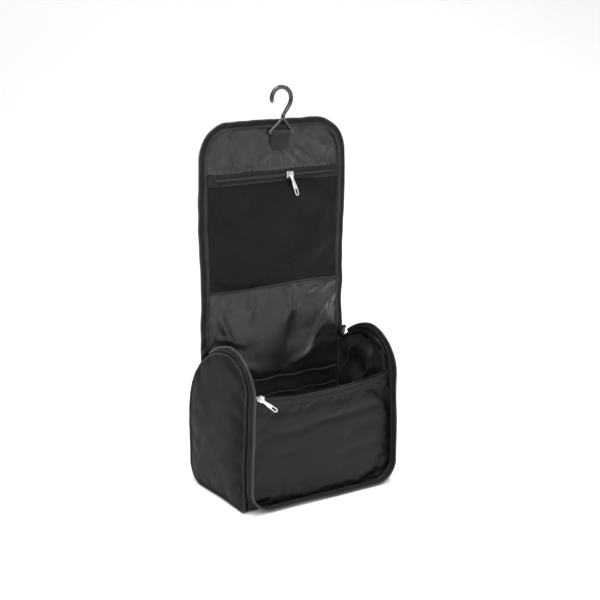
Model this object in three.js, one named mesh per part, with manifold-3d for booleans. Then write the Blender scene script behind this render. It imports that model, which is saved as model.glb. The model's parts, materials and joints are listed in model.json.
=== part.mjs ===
// A hanging toiletry bag: an arch-ended zip bag whose padded flap stands up behind it and carries
// a hook. Millimetres. X runs to the right, Y to the back and Z up, and the origin lies on the
// table under the middle of the bag.
import * as THREE from 'three';
import { mergeVertices } from 'three/addons/utils/BufferGeometryUtils.js';
import Module from 'manifold-3d';

const wasm = await Module();
wasm.setup();

// ---- Driving dimensions of the bag's body ----
const HALF_WIDTH = 109;            // middle of the bag to the outer face of an end panel
const FRONT_Y = -64;               // outer face of the front pocket
const BACK_Y = 79;                 // outer face of the back
const TOP_Z = 192;                 // crest of the arch
const FRONT_SHOULDER_R = 45;
const BACK_SHOULDER_R = 98;
const HEEL_R = 30;                 // bottom corner at the back
const TOE_R = 8;                   // bottom corner at the front
const CREST_Y = FRONT_Y + FRONT_SHOULDER_R;

// ---- Layers, as distances in from the outer face ----
const SKIN = { outer: 0, inner: -1 };
const FOAM = { outer: -1.3, inner: -3.2 };
const LINING = { outer: -3.5, inner: -4.3 };
const GAP = 0.3;                   // room left between neighbouring pieces
const BAND_HALF = 104.1;           // half length of the bottom, back and front panels

// ---- The zip flange that stands out all round the open edge ----
const FLANGE_X = 105.1;
const FLANGE_THICK = 1.4;
const FLANGE_START = 60;           // degrees up the back shoulder where the zip begins
const FLANGE_ROOT = 0.4;
const FLANGE_HINGE_REACH = 0.4;
const FLANGE_TOP_REACH = 6.4;
const FLANGE_FRONT_REACH = 10.4;
const FLANGE_CORNER_R = 26;
const FLANGE_BOTTOM_Z = 3;
const TEETH = { width: 2.2, thick: 2.6, gap: 0.2 };
const PIPING_R = 1.6;

// ---- The front pocket and its curved zip ----
const POCKET_WALL_Y = -56.6;       // middle of the zip half on the inner wall
const ZIP_LINE_LOW = 134;          // height of the zip line at the middle of the bag
const ZIP_LINE_R = 497;            // the zip line is an arc with its centre high above the bag

// ---- The flap: five stiff stretches, each hinged to the one below at its inner face ----
const FLAP_Y = 44;                 // inner face of the flap
const FLAP_HALF = 100;             // half width of the padded panel, inside its zip tape
const FLAP_JOINTS_Z = [171, 181, 218, 273, 325.4];
const FLAP_TOP_Z = 465;
const FLAP_CORNER_R = 38;
const FLAP_TAPE_WIDTH = 9;
const FLAP_LINING = { near: 1.1, far: 1.9 };
const FLAP_FOAM = { near: 2.2, far: 4.2 };
const FLAP_COVER = { near: 4.5, far: 5.5 };
const SEGMENT_GAP = 0.4;           // half of it is left on each side of a fold line
const MESH = { near: 0.2, far: 0.8, half: 96, low: 252, high: 386 };

// ---- The zip on the flap's mesh pocket ----
const FLAP_ZIP_Z = 394;
const FLAP_ZIP_HALF = 87;
const FLAP_SLIDER_X = 21;
const FLAP_PULL_TILT = 20;         // degrees that the pull leans from straight down towards +X
const POCKET_SLIDER_X = -91;
const POCKET_PULL_TILT = 51;
const PULL_LENGTH = 29;

// ---- The hook and the webbing loop that holds it ----
const HOOK_Y = FLAP_Y - 2.6;
const HOOK_ROD_R = 2.8;
const HOOK_WIRE_R = 1.8;
const CROOK = { x: 9, z: 490, r: 14.2 };
const HOOK_BAR_Z = 448;
const HOOK_APEX = { x: 11, z: 466 };
const HOOK_FEET = { left: -10, right: 26 };
const LOOP = { left: -3, right: 20, foot: 428 };

const X = new THREE.Vector3(1, 0, 0);
const Y = new THREE.Vector3(0, 1, 0);
const Z = new THREE.Vector3(0, 0, 1);
const rad = THREE.MathUtils.degToRad;

function finish(color, roughness, metalness = 0) {
  return new THREE.MeshStandardMaterial({ color, roughness, metalness });
}

const nylon = finish(0x262526, 0.55);
const padding = finish(0xb9bab8, 0.9);
const liningCloth = finish(0x1c1c1d, 0.32);
const netting = finish(0x141415, 0.7);
const zipTape = finish(0x1d1d1e, 0.75);
const zipTeeth = finish(0x232324, 0.4);
const webbing = finish(0x242425, 0.8);
const nickel = finish(0xc9c9c6, 0.25, 1);
const gunmetal = finish(0x3a3b3e, 0.35, 0.6);

const bag = new THREE.Group();

function add(name, geometry, material) {
  const mesh = new THREE.Mesh(geometry, material);
  mesh.name = name;
  bag.add(mesh);
}

// ---- Ways of making a solid ----

function box(x0, x1, y0, y1, z0, z1) {
  const geometry = new THREE.BoxGeometry(x1 - x0, y1 - y0, z1 - z0);
  return geometry.translate((x0 + x1) / 2, (y0 + y1) / 2, (z0 + z1) / 2);
}

function extrude(shape, depth, segments) {
  return new THREE.ExtrudeGeometry(shape, { depth, bevelEnabled: false, curveSegments: segments });
}

// A shape drawn in (y, z), extruded along X.
function acrossX(shape, x0, x1, segments = 4) {
  const basis = new THREE.Matrix4().makeBasis(Y, Z, X);
  return extrude(shape, x1 - x0, segments).applyMatrix4(basis).translate(x0, 0, 0);
}

// A shape drawn in (x, z), extruded along Y.
function acrossY(shape, y0, y1, segments = 6) {
  const basis = new THREE.Matrix4().makeBasis(X, Z, Y.clone().negate());
  return extrude(shape, y1 - y0, segments).applyMatrix4(basis).translate(0, y1, 0);
}

// A shape drawn in (x, y), extruded along Z.
function acrossZ(shape, z0, z1) {
  return extrude(shape, z1 - z0, 4).translate(0, 0, z0);
}

function signedVolume(points, index) {
  let volume = 0;
  for (let i = 0; i < index.length; i += 3) {
    const [a, b, c] = [points[index[i]], points[index[i + 1]], points[index[i + 2]]];
    volume += a.dot(b.clone().cross(c)) / 6;
  }
  return volume;
}

// Sweeps a flat section through stations. A station has a place and the section's two directions.
function sweep(stations, section, closed = false) {
  const size = section.length;
  const points = stations.flatMap(({ at, u, v }) =>
    section.map((p) => at.clone().addScaledVector(u, p.x).addScaledVector(v, p.y)));
  const index = [];
  const spans = stations.length - (closed ? 0 : 1);
  for (let i = 0; i < spans; i++) {
    const here = i * size;
    const next = ((i + 1) % stations.length) * size;
    for (let j = 0; j < size; j++) {
      const k = (j + 1) % size;
      index.push(here + j, here + k, next + k, here + j, next + k, next + j);
    }
  }
  if (!closed) {
    const last = spans * size;
    const way = Math.sign(THREE.ShapeUtils.area(section));
    for (const face of THREE.ShapeUtils.triangulateShape(section, [])) {
      const same = Math.sign(THREE.ShapeUtils.area(face.map((i) => section[i]))) === way;
      const [a, b, c] = same ? face : [face[2], face[1], face[0]];
      index.push(c, b, a, last + a, last + b, last + c);
    }
  }
  if (signedVolume(points, index) < 0) index.reverse();
  return new THREE.BufferGeometry().setFromPoints(points).setIndex(index);
}

function polygon(...pairs) {
  return pairs.map(([x, y]) => new THREE.Vector2(x, y));
}

function rectangle(x0, x1, y0, y1) {
  return polygon([x0, y0], [x1, y0], [x1, y1], [x0, y1]);
}

function circle(radius, sides) {
  return Array.from({ length: sides }, (_, i) => {
    const angle = (2 * Math.PI * i) / sides;
    return new THREE.Vector2(radius * Math.cos(angle), radius * Math.sin(angle));
  });
}

function toSolid(geometry) {
  const bare = geometry.clone();
  bare.deleteAttribute('normal');
  bare.deleteAttribute('uv');
  const merged = mergeVertices(bare, 1e-4);
  return new wasm.Manifold(new wasm.Mesh({
    numProp: 3,
    vertProperties: new Float32Array(merged.attributes.position.array),
    triVerts: new Uint32Array(merged.index.array),
  }));
}

function toGeometry(solid) {
  const mesh = solid.getMesh();
  const geometry = new THREE.BufferGeometry();
  geometry.setAttribute('position', new THREE.BufferAttribute(mesh.vertProperties, 3));
  geometry.setIndex(new THREE.BufferAttribute(mesh.triVerts, 1));
  return geometry;
}

function union(...geometries) {
  return toGeometry(geometries.map(toSolid).reduce((whole, piece) => whole.add(piece)));
}

// ---- The outline of the ends, drawn in (y, z) as four corners ----

const toe = { y: FRONT_Y + TOE_R, z: TOE_R, r: TOE_R };
const heel = { y: BACK_Y - HEEL_R, z: HEEL_R, r: HEEL_R };
const backShoulder = { y: CREST_Y, z: TOP_Z - BACK_SHOULDER_R, r: BACK_SHOULDER_R };
const frontShoulder = { y: CREST_Y, z: TOP_Z - FRONT_SHOULDER_R, r: FRONT_SHOULDER_R };

function turn(corner, from, to) {
  return { ...corner, from: rad(from), to: rad(to) };
}

const OUTLINE = [
  turn(toe, 180, 270), turn(heel, 270, 360), turn(backShoulder, 0, 90), turn(frontShoulder, 90, 180),
];

function trace(shape, arcs, offset) {
  for (const arc of arcs) shape.absarc(arc.y, arc.z, arc.r + offset, arc.from, arc.to, false);
}

function endShape(offset) {
  const shape = new THREE.Shape();
  trace(shape, OUTLINE, offset);
  return shape;
}

// A strip of one layer that follows part of the outline.
function strip(arcs, layer) {
  const shape = new THREE.Shape();
  trace(shape, arcs, layer.outer);
  for (const arc of arcs.toReversed()) {
    shape.absarc(arc.y, arc.z, arc.r + layer.inner, arc.to, arc.from, true);
  }
  return shape;
}

function onOutline(arc, angle, offset, x) {
  const reach = arc.r + offset;
  return new THREE.Vector3(x, arc.y + reach * Math.cos(angle), arc.z + reach * Math.sin(angle));
}

function radial(angle) {
  return new THREE.Vector3(0, Math.cos(angle), Math.sin(angle));
}

// ---- Body: end panels with their piping ----

const END_LAYERS = {
  end_panel: { near: 108, far: HALF_WIDTH, material: nylon },
  end_foam: { near: 105.8, far: 107.7, material: padding },
  end_lining: { near: 104.5, far: 105.3, material: liningCloth },
};
const END_INSET = -4.4;
const PIPING_X = 107.8;
const PIPING_INSET = -1.7;
const PIPING_STEPS = [3, 4, 7, 6];

function addEnd(side, sign) {
  for (const [name, { near, far, material }] of Object.entries(END_LAYERS)) {
    const [x0, x1] = sign > 0 ? [near, far] : [-far, -near];
    add(`${side}_${name}`, acrossX(endShape(END_INSET), x0, x1), material);
  }
  const stations = OUTLINE.flatMap((arc, i) =>
    Array.from({ length: PIPING_STEPS[i] + 1 }, (_, j) => {
      const angle = THREE.MathUtils.lerp(arc.from, arc.to, j / PIPING_STEPS[i]);
      const at = onOutline(arc, angle, PIPING_INSET, sign * PIPING_X);
      return { at, u: radial(angle), v: X };
    }));
  const unlike = stations.filter(({ at }, i) => at.distanceTo(stations.at(i - 1).at) > GAP);
  add(`${side}_piping`, sweep(unlike, circle(PIPING_R, 6), true), nylon);
}

addEnd('left', -1);
addEnd('right', 1);

// ---- Body: bottom, back and the lining that hangs straight down from the flap ----

const SEAM_ANGLE = -45;            // the bottom meets the back half way round the heel
const SEAM_SLIT = 0.5;             // degrees left open at that seam
const BACK_END = 46.5;             // degrees up the back shoulder where the back panel stops
const LINING_FRONT_Y = -56;
const LINING_FLOOR_Z = -LINING.inner + GAP;
const backArcs = [turn(heel, SEAM_ANGLE + SEAM_SLIT, 0), turn(backShoulder, 0, BACK_END)];
const bottomArcs = [turn(toe, 180, 270), turn(heel, 270, 360 + SEAM_ANGLE - SEAM_SLIT)];

add('bottom_panel', acrossX(strip(bottomArcs, SKIN), -BAND_HALF, BAND_HALF, 3), nylon);
add('bottom_foam', acrossX(strip(bottomArcs, FOAM), -BAND_HALF, BAND_HALF, 3), padding);
add('bottom_lining', box(-BAND_HALF, BAND_HALF, LINING_FRONT_Y, FLAP_Y, -LINING.outer, -LINING.inner),
  liningCloth);
add('back_panel', acrossX(strip(backArcs, SKIN), -BAND_HALF, BAND_HALF, 3), nylon);
add('back_foam', acrossX(strip(backArcs, FOAM), -BAND_HALF, BAND_HALF, 3), padding);
add('back_lining', box(-BAND_HALF, BAND_HALF, FLAP_Y + GAP, FLAP_Y + FLAP_LINING.near, LINING_FLOOR_Z,
  FLAP_JOINTS_Z[0] - GAP), liningCloth);

// ---- Body: bound seams in the back corners and the elastic strap that makes four loops ----

const BINDING = { near: 97.5, far: 103.9, thick: 2.2, low: 5, high: 168 };
const STRAP = { start: -88, pitch: 46, loops: 4, thick: 1.2, bulge: 6.5, low: 108, high: 130 };
const STRAP_STEPS = 8;

add('left_seam_binding', box(-BINDING.far, -BINDING.near, FLAP_Y - BINDING.thick, FLAP_Y,
  BINDING.low, BINDING.high), webbing);
add('right_seam_binding', box(BINDING.near, BINDING.far, FLAP_Y - BINDING.thick, FLAP_Y,
  BINDING.low, BINDING.high), webbing);

function strapShape() {
  const steps = STRAP.loops * STRAP_STEPS;
  const wave = Array.from({ length: steps + 1 }, (_, i) => {
    const lift = STRAP.bulge * Math.sin((Math.PI * i) / STRAP_STEPS) ** 2;
    return new THREE.Vector2(STRAP.start + (STRAP.pitch * i) / STRAP_STEPS, FLAP_Y - lift);
  });
  const face = wave.map((p) => new THREE.Vector2(p.x, p.y - STRAP.thick));
  return new THREE.Shape([...face, ...wave.toReversed()]);
}

add('elastic_loop_strap', acrossZ(strapShape(), STRAP.low, STRAP.high), webbing);

// ---- Body: the front pocket between the outer panel and the inner wall ----

const POCKET_TAPE_DROP = 4;        // how far the zip tape reaches down its panel
const FRONT_PANEL_LOW = TOE_R + GAP;
const ZIP_CENTRE_Z = ZIP_LINE_LOW + ZIP_LINE_R;
const FRONT_LAYERS = {
  front_pocket_panel: { y0: FRONT_Y, y1: FRONT_Y + 1, material: nylon },
  front_inner_wall: { y0: POCKET_WALL_Y - 0.4, y1: POCKET_WALL_Y + 0.4, material: nylon },
  front_lining: { y0: -55.9, y1: -55.1, material: liningCloth },
};
const POCKET_ZIP_SECTION = polygon([-0.4, -POCKET_TAPE_DROP], [0.4, -POCKET_TAPE_DROP], [0.4, 0],
  [1.2, 0.4], [1.2, 2], [0.5, 2.5], [-0.5, 2.5], [-1.2, 2], [-1.2, 0.4], [-0.4, 0]);
const POCKET_ZIP_HALVES = { front_zip_outer_half: FRONT_Y + 0.5, front_zip_inner_half: POCKET_WALL_Y };
const ZIP_LINE_STEPS = 12;
const ZIP_LINE_HALF = 103;

// The angle at the zip line's centre, from straight down, of the point at x.
function zipAngle(x) {
  return Math.asin(x / ZIP_LINE_R);
}

function zipPoint(x, y, rise) {
  const reach = ZIP_LINE_R - rise;
  const angle = zipAngle(x);
  return new THREE.Vector3(reach * Math.sin(angle), y, ZIP_CENTRE_Z - reach * Math.cos(angle));
}

function frontShape() {
  const reach = ZIP_LINE_R + POCKET_TAPE_DROP + GAP;
  const half = Math.asin(BAND_HALF / reach);
  const shape = new THREE.Shape();
  shape.moveTo(-BAND_HALF, FRONT_PANEL_LOW);
  shape.lineTo(BAND_HALF, FRONT_PANEL_LOW);
  shape.absarc(0, ZIP_CENTRE_Z, reach, -Math.PI / 2 + half, -Math.PI / 2 - half, true);
  return shape;
}

for (const [name, { y0, y1, material }] of Object.entries(FRONT_LAYERS)) {
  add(name, acrossY(frontShape(), y0, y1), material);
}

for (const [name, y] of Object.entries(POCKET_ZIP_HALVES)) {
  const stations = Array.from({ length: ZIP_LINE_STEPS + 1 }, (_, i) => {
    const x = THREE.MathUtils.lerp(-ZIP_LINE_HALF, ZIP_LINE_HALF, i / ZIP_LINE_STEPS);
    const up = new THREE.Vector3(-Math.sin(zipAngle(x)), 0, Math.cos(zipAngle(x)));
    return { at: zipPoint(x, y, 0), u: Y, v: up };
  });
  add(name, sweep(stations, POCKET_ZIP_SECTION), zipTape);
}

// ---- Body: the zip flange and its teeth ----

// Half of the flange's route, from the hinge on one side to the middle of the bottom edge.
function flangeHalf(sign) {
  const x = sign * FLANGE_X;
  const stations = [];
  const station = (at, out, across, reach) => stations.push({ at, out, across, reach });
  const alongArc = (arc, from, to, steps, reachFrom, reachTo) => {
    for (let i = 0; i < steps; i++) {
      const angle = rad(THREE.MathUtils.lerp(from, to, i / steps));
      const reach = THREE.MathUtils.lerp(reachFrom, reachTo, i / steps);
      station(onOutline(arc, angle, FLANGE_ROOT, x), radial(angle), X.clone().multiplyScalar(-sign), reach);
    }
  };
  alongArc(backShoulder, FLANGE_START, 90, 4, FLANGE_HINGE_REACH, FLANGE_TOP_REACH);
  alongArc(frontShoulder, 90, 180, 7, FLANGE_TOP_REACH, FLANGE_FRONT_REACH);
  station(new THREE.Vector3(x, FRONT_Y - FLANGE_ROOT, frontShoulder.z), Y.clone().negate(),
    X.clone().multiplyScalar(-sign), FLANGE_FRONT_REACH);
  const centre = new THREE.Vector3(x - sign * FLANGE_CORNER_R, FRONT_Y - FLANGE_ROOT,
    FLANGE_BOTTOM_Z + FLANGE_CORNER_R);
  for (let i = 0; i <= 5; i++) {
    const angle = rad(18 * i);
    const out = new THREE.Vector3(sign * Math.cos(angle), 0, -Math.sin(angle));
    station(centre.clone().addScaledVector(out, FLANGE_CORNER_R), Y.clone().negate(), out.negate(),
      FLANGE_FRONT_REACH);
  }
  return stations;
}

const flangeRoute = [...flangeHalf(-1), ...flangeHalf(1).reverse()];
const flangeStations = flangeRoute.map(({ at, out, across, reach }) =>
  ({ at, u: out.clone().multiplyScalar(reach), v: across }));
const teethStations = flangeRoute.map(({ at, out, across, reach }) =>
  ({ at: at.clone().addScaledVector(out, reach), u: out, v: across }));

add('body_zip_flange', sweep(flangeStations,
  rectangle(0, 1, -FLANGE_THICK / 2, FLANGE_THICK / 2)), zipTape);
add('body_zip_teeth', sweep(teethStations,
  rectangle(TEETH.gap, TEETH.gap + TEETH.width, -TEETH.thick / 2, TEETH.thick / 2)), zipTeeth);

// ---- Flap: a plain hinge band, then four padded stretches ----

const FLAP_NAMES = ['rear', 'crest', 'brow', 'face'];
const FLAP_ZIP_SECTION = polygon([0, 2], [6.4, 2], [6.4, 1.3], [FLAP_TAPE_WIDTH, 1.3],
  [FLAP_TAPE_WIDTH, 3.9], [6.4, 3.9], [6.4, 3.2], [0, 3.2]);
const FLAP_LAYERS = {
  lining: { ...FLAP_LINING, material: liningCloth },
  foam: { ...FLAP_FOAM, material: padding },
  cover: { ...FLAP_COVER, material: nylon },
};

add('flap_hinge_band', box(-FLAP_HALF - 4, FLAP_HALF + 4, FLAP_Y + FLAP_LINING.near,
  FLAP_Y + FLAP_COVER.far, FLAP_JOINTS_Z[0] + SEGMENT_GAP, FLAP_JOINTS_Z[1] - SEGMENT_GAP), nylon);

// The flat outline of a stretch, in (x, z); the last one has rounded top corners.
function stretchShape(z0, z1, cornerR) {
  const shape = new THREE.Shape();
  shape.moveTo(-FLAP_HALF, z0);
  shape.lineTo(FLAP_HALF, z0);
  if (cornerR > 0) {
    shape.absarc(FLAP_HALF - cornerR, z1 - cornerR, cornerR, 0, Math.PI / 2, false);
    shape.absarc(cornerR - FLAP_HALF, z1 - cornerR, cornerR, Math.PI / 2, Math.PI, false);
  } else {
    shape.lineTo(FLAP_HALF, z1);
    shape.lineTo(-FLAP_HALF, z1);
  }
  return shape;
}

function addTapeStretch(name, z0, z1, sign) {
  const x = sign * (FLAP_HALF + GAP);
  const stations = [z0, z1].map((z) =>
    ({ at: new THREE.Vector3(x, FLAP_Y, z), u: X.clone().multiplyScalar(sign), v: Y }));
  add(name, sweep(stations, FLAP_ZIP_SECTION), zipTape);
}

// The last stretch's tape runs up one side, round the top and down the other.
function addTapeRound(name, z0) {
  const inner = FLAP_HALF + GAP;
  const centreZ = FLAP_TOP_Z - FLAP_TAPE_WIDTH - FLAP_CORNER_R;
  const centreX = inner - FLAP_CORNER_R;
  const stations = [];
  const station = (x, z, angle) => stations.push({
    at: new THREE.Vector3(x, FLAP_Y, z),
    u: new THREE.Vector3(Math.cos(angle), 0, Math.sin(angle)),
    v: Y,
  });
  station(inner, z0, 0);
  for (const [side, from] of [[1, 0], [-1, 90]]) {
    for (let i = 0; i <= 6; i++) {
      const angle = rad(from + 15 * i);
      station(side * centreX + FLAP_CORNER_R * Math.cos(angle),
        centreZ + FLAP_CORNER_R * Math.sin(angle), angle);
    }
  }
  station(-inner, z0, Math.PI);
  add(name, sweep(stations, FLAP_ZIP_SECTION), zipTape);
}

FLAP_NAMES.forEach((name, i) => {
  const last = i === FLAP_NAMES.length - 1;
  const z0 = FLAP_JOINTS_Z[i + 1] + SEGMENT_GAP / 2;
  const z1 = last ? FLAP_TOP_Z - FLAP_TAPE_WIDTH - GAP : FLAP_JOINTS_Z[i + 2] - SEGMENT_GAP / 2;
  for (const [layer, { near, far, material }] of Object.entries(FLAP_LAYERS)) {
    const shape = stretchShape(z0, z1, last ? FLAP_CORNER_R - GAP : 0);
    add(`flap_${name}_${layer}`, acrossY(shape, FLAP_Y + near, FLAP_Y + far, 3), material);
  }
  if (last) {
    addTapeRound(`flap_${name}_zip_tape`, z0);
  } else {
    addTapeStretch(`flap_${name}_zip_tape_left`, z0, z1, -1);
    addTapeStretch(`flap_${name}_zip_tape_right`, z0, z1, 1);
  }
  const meshLow = Math.max(z0, MESH.low);
  const meshHigh = Math.min(z1, MESH.high);
  if (meshHigh > meshLow) {
    add(`flap_${name}_mesh`, box(-MESH.half, MESH.half, FLAP_Y + MESH.near, FLAP_Y + MESH.far,
      meshLow, meshHigh), netting);
  }
});

// ---- Flap: the pocket zip with a folded tab at each end ----

const FLAP_ZIP = { tapeHalf: 6.5, front: -0.9, back: -0.1, coilHalf: 1.6, coilFront: -2.2 };
const ZIP_TAB = { width: 9.5, half: 7.5, front: -1.4 };

add('flap_zip_tape', sweep([-1, 1].map((sign) => ({
  at: new THREE.Vector3(sign * FLAP_ZIP_HALF, FLAP_Y, FLAP_ZIP_Z), u: Z, v: Y,
})), polygon([-FLAP_ZIP.tapeHalf, FLAP_ZIP.back], [-FLAP_ZIP.tapeHalf, FLAP_ZIP.front],
  [-FLAP_ZIP.coilHalf, FLAP_ZIP.front], [-FLAP_ZIP.coilHalf, FLAP_ZIP.coilFront],
  [FLAP_ZIP.coilHalf, FLAP_ZIP.coilFront], [FLAP_ZIP.coilHalf, FLAP_ZIP.front],
  [FLAP_ZIP.tapeHalf, FLAP_ZIP.front], [FLAP_ZIP.tapeHalf, FLAP_ZIP.back])), zipTape);

for (const [side, sign] of [['left', -1], ['right', 1]]) {
  const [near, far] = [FLAP_ZIP_HALF + GAP, FLAP_ZIP_HALF + GAP + ZIP_TAB.width];
  const [x0, x1] = sign > 0 ? [near, far] : [-far, -near];
  add(`flap_zip_tab_${side}`, box(x0, x1, FLAP_Y + ZIP_TAB.front, FLAP_Y + FLAP_ZIP.back,
    FLAP_ZIP_Z - ZIP_TAB.half, FLAP_ZIP_Z + ZIP_TAB.half), nylon);
}

// ---- Sliders: a grooved block with a headed post that the pull turns on ----

const SLIDER = { length: 10, wall: 3.1, groove: 1.4, half: 4 };
const POST = { r: 1.2, headR: 2.2, reach: 1.9, head: 0.7 };
const PULL = { thick: 1.2, eyeR: 3.4, holeR: 1.6, tailR: 2.6, slotR: 1.2, slot: 6 };

// The post and its head stand on a face at the origin and point along -Y.
function post() {
  const profile = polygon([0, -GAP], [POST.r, -GAP], [POST.r, POST.reach], [POST.headR, POST.reach],
    [POST.headR, POST.reach + POST.head], [0, POST.reach + POST.head]);
  return new THREE.LatheGeometry(profile, 12).rotateZ(Math.PI);
}

// The pull hangs straight down from an eye at the origin, with its back at y = -GAP.
function pull() {
  const shape = new THREE.Shape();
  const tail = -(PULL_LENGTH - PULL.tailR);
  shape.absarc(0, 0, PULL.eyeR, 0, Math.PI, false);
  shape.absarc(0, tail, PULL.tailR, Math.PI, 2 * Math.PI, false);
  const eye = new THREE.Path().absarc(0, 0, PULL.holeR, 0, 2 * Math.PI, true);
  const slot = new THREE.Path();
  slot.absarc(0, tail + PULL.slot, PULL.slotR, Math.PI, 0, true);
  slot.absarc(0, tail, PULL.slotR, 2 * Math.PI, Math.PI, true);
  slot.closePath();
  shape.holes.push(eye, slot);
  return acrossY(shape, -GAP - PULL.thick, -GAP, 4);
}

// A grooved block that straddles the coil from the front, centred on the origin's height, with the
// tape's face at y = 0.
function flatSlider() {
  const { length, wall, groove, half } = SLIDER;
  const opening = FLAP_ZIP.coilHalf + GAP;
  const shape = new THREE.Shape(polygon([-GAP / 2, -half], [-GAP / 2, -opening], [-groove - GAP, -opening],
    [-groove - GAP, opening], [-GAP / 2, opening], [-GAP / 2, half], [-groove - wall, half],
    [-groove - wall, -half]));
  const block = acrossX(shape, -length / 2, length / 2);
  return union(block, post().translate(0, -groove - wall, 0));
}

// A grooved block that sits on the bead of the curved pocket zip like a saddle.
const SADDLE = { outer: 2.9, slot: 1.6, low: -2.6, roof: 2.9, high: 5.2, postZ: 1.3 };

function saddleSlider() {
  const { outer, slot, low, roof, high, postZ } = SADDLE;
  const shape = new THREE.Shape(polygon([-outer, low], [-slot, low], [-slot, roof], [slot, roof],
    [slot, low], [outer, low], [outer, high], [-outer, high]));
  const block = acrossX(shape, -SLIDER.length / 2, SLIDER.length / 2);
  return union(block, post().translate(0, -outer, postZ));
}

const FLAP_SLIDER_FACE = FLAP_Y + FLAP_ZIP.front - SLIDER.groove - SLIDER.wall;
add('flap_zip_slider', flatSlider().translate(FLAP_SLIDER_X, FLAP_Y + FLAP_ZIP.front, FLAP_ZIP_Z), nickel);
add('flap_zip_pull', pull().rotateY(rad(-FLAP_PULL_TILT))
  .translate(FLAP_SLIDER_X, FLAP_SLIDER_FACE, FLAP_ZIP_Z), nickel);

const saddleAt = zipPoint(POCKET_SLIDER_X, FRONT_Y + 0.5, 0);
const saddlePivot = zipPoint(POCKET_SLIDER_X, FRONT_Y + 0.5 - SADDLE.outer, SADDLE.postZ);
add('front_zip_slider', saddleSlider().rotateY(-zipAngle(POCKET_SLIDER_X))
  .translate(saddleAt.x, saddleAt.y, saddleAt.z), nickel);
add('front_zip_pull', pull().rotateY(rad(-POCKET_PULL_TILT))
  .translate(saddlePivot.x, saddlePivot.y, saddlePivot.z), nickel);

// The main zip's slider is parked where the zip ends, beside the hinge band at the right end, and
// its pull hangs outside the end panel.
const MAIN_SLIDER = { x0: 105, x1: 109.8, y0: FLAP_Y + 1, y1: FLAP_Y + 5.5, z0: 172, z1: 180.5 };
const mainPivot = new THREE.Vector3(MAIN_SLIDER.x1, (MAIN_SLIDER.y0 + MAIN_SLIDER.y1) / 2,
  (MAIN_SLIDER.z0 + MAIN_SLIDER.z1) / 2);
add('main_zip_slider', union(
  box(MAIN_SLIDER.x0, MAIN_SLIDER.x1, MAIN_SLIDER.y0, MAIN_SLIDER.y1, MAIN_SLIDER.z0, MAIN_SLIDER.z1),
  post().rotateZ(Math.PI / 2).translate(mainPivot.x, mainPivot.y, mainPivot.z),
), nickel);
add('main_zip_pull', pull().rotateZ(Math.PI / 2).translate(mainPivot.x, mainPivot.y, mainPivot.z), nickel);

// ---- The webbing loop and the hook whose base bar runs through it ----

const LOOP_R = 3;                  // outside of the webbing where it goes round the bar
const LOOP_HOLE_R = 2.2;
const LOOP_WRAP = 240;             // degrees that the webbing goes round the bar, from the back
const LOOP_NECK = 4.5;             // below the bar's centre, where its two layers meet
const LOOP_BACK_Y = FLAP_Y + FLAP_LINING.near - GAP;
const LOOP_FACE_Y = LOOP_BACK_Y - 2 * (LOOP_R - LOOP_HOLE_R);

// In (y, z): round over the bar, then two layers flat down the lining to where they are sewn.
function loopShape() {
  const shape = new THREE.Shape();
  shape.moveTo(LOOP_BACK_Y, LOOP.foot);
  shape.lineTo(LOOP_BACK_Y, HOOK_BAR_Z);
  shape.absarc(HOOK_Y, HOOK_BAR_Z, LOOP_R, 0, rad(LOOP_WRAP), false);
  shape.lineTo(LOOP_FACE_Y, HOOK_BAR_Z - LOOP_NECK);
  shape.lineTo(LOOP_FACE_Y, LOOP.foot);
  shape.holes.push(new THREE.Path().absarc(HOOK_Y, HOOK_BAR_Z, LOOP_HOLE_R, 0, 2 * Math.PI, true));
  return shape;
}

add('hook_webbing_loop', acrossX(loopShape(), LOOP.left, LOOP.right, 5), webbing);

function rod(curve, radius, steps, sides) {
  const section = new THREE.Shape(circle(radius, sides));
  return new THREE.ExtrudeGeometry(section, { steps, extrudePath: curve, curveSegments: 1 });
}

function inHookPlane(pairs) {
  return pairs.map(([x, z]) => new THREE.Vector3(x, HOOK_Y, z));
}

// The crook is an arc over the top, from the tip round to the right, and then comes down to the apex.
function crookCurve() {
  const arc = Array.from({ length: 7 }, (_, i) => {
    const angle = rad(200 - 38 * i);
    return [CROOK.x + CROOK.r * Math.cos(angle), CROOK.z + CROOK.r * Math.sin(angle)];
  });
  return new THREE.CatmullRomCurve3(inHookPlane([...arc, [HOOK_APEX.x, HOOK_APEX.z]]));
}

// The base is a triangle of thinner wire whose bar runs through the webbing loop.
function baseWires() {
  const [left, right, apex] = inHookPlane([[HOOK_FEET.left, HOOK_BAR_Z],
    [HOOK_FEET.right, HOOK_BAR_Z], [HOOK_APEX.x, HOOK_APEX.z]]);
  const legs = [[left, right], [right, apex], [apex, left]].map(([from, to]) =>
    rod(new THREE.LineCurve3(from, to), HOOK_WIRE_R, 1, 8));
  const feet = [left, right].map((foot) =>
    new THREE.SphereGeometry(HOOK_WIRE_R, 8, 6).translate(foot.x, foot.y, foot.z));
  return [...legs, ...feet];
}

add('hook', union(rod(crookCurve(), HOOK_ROD_R, 22, 8), ...baseWires()), gunmetal);

export default bag;
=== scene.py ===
"""The looks of a hanging toiletry bag: padded panels, linings, zips, net pocket and hook."""

import json  # noqa: E402
import math  # noqa: E402

import bmesh  # noqa: E402
import bpy  # noqa: E402
import numpy as np  # noqa: E402
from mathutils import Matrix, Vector  # noqa: E402


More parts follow.
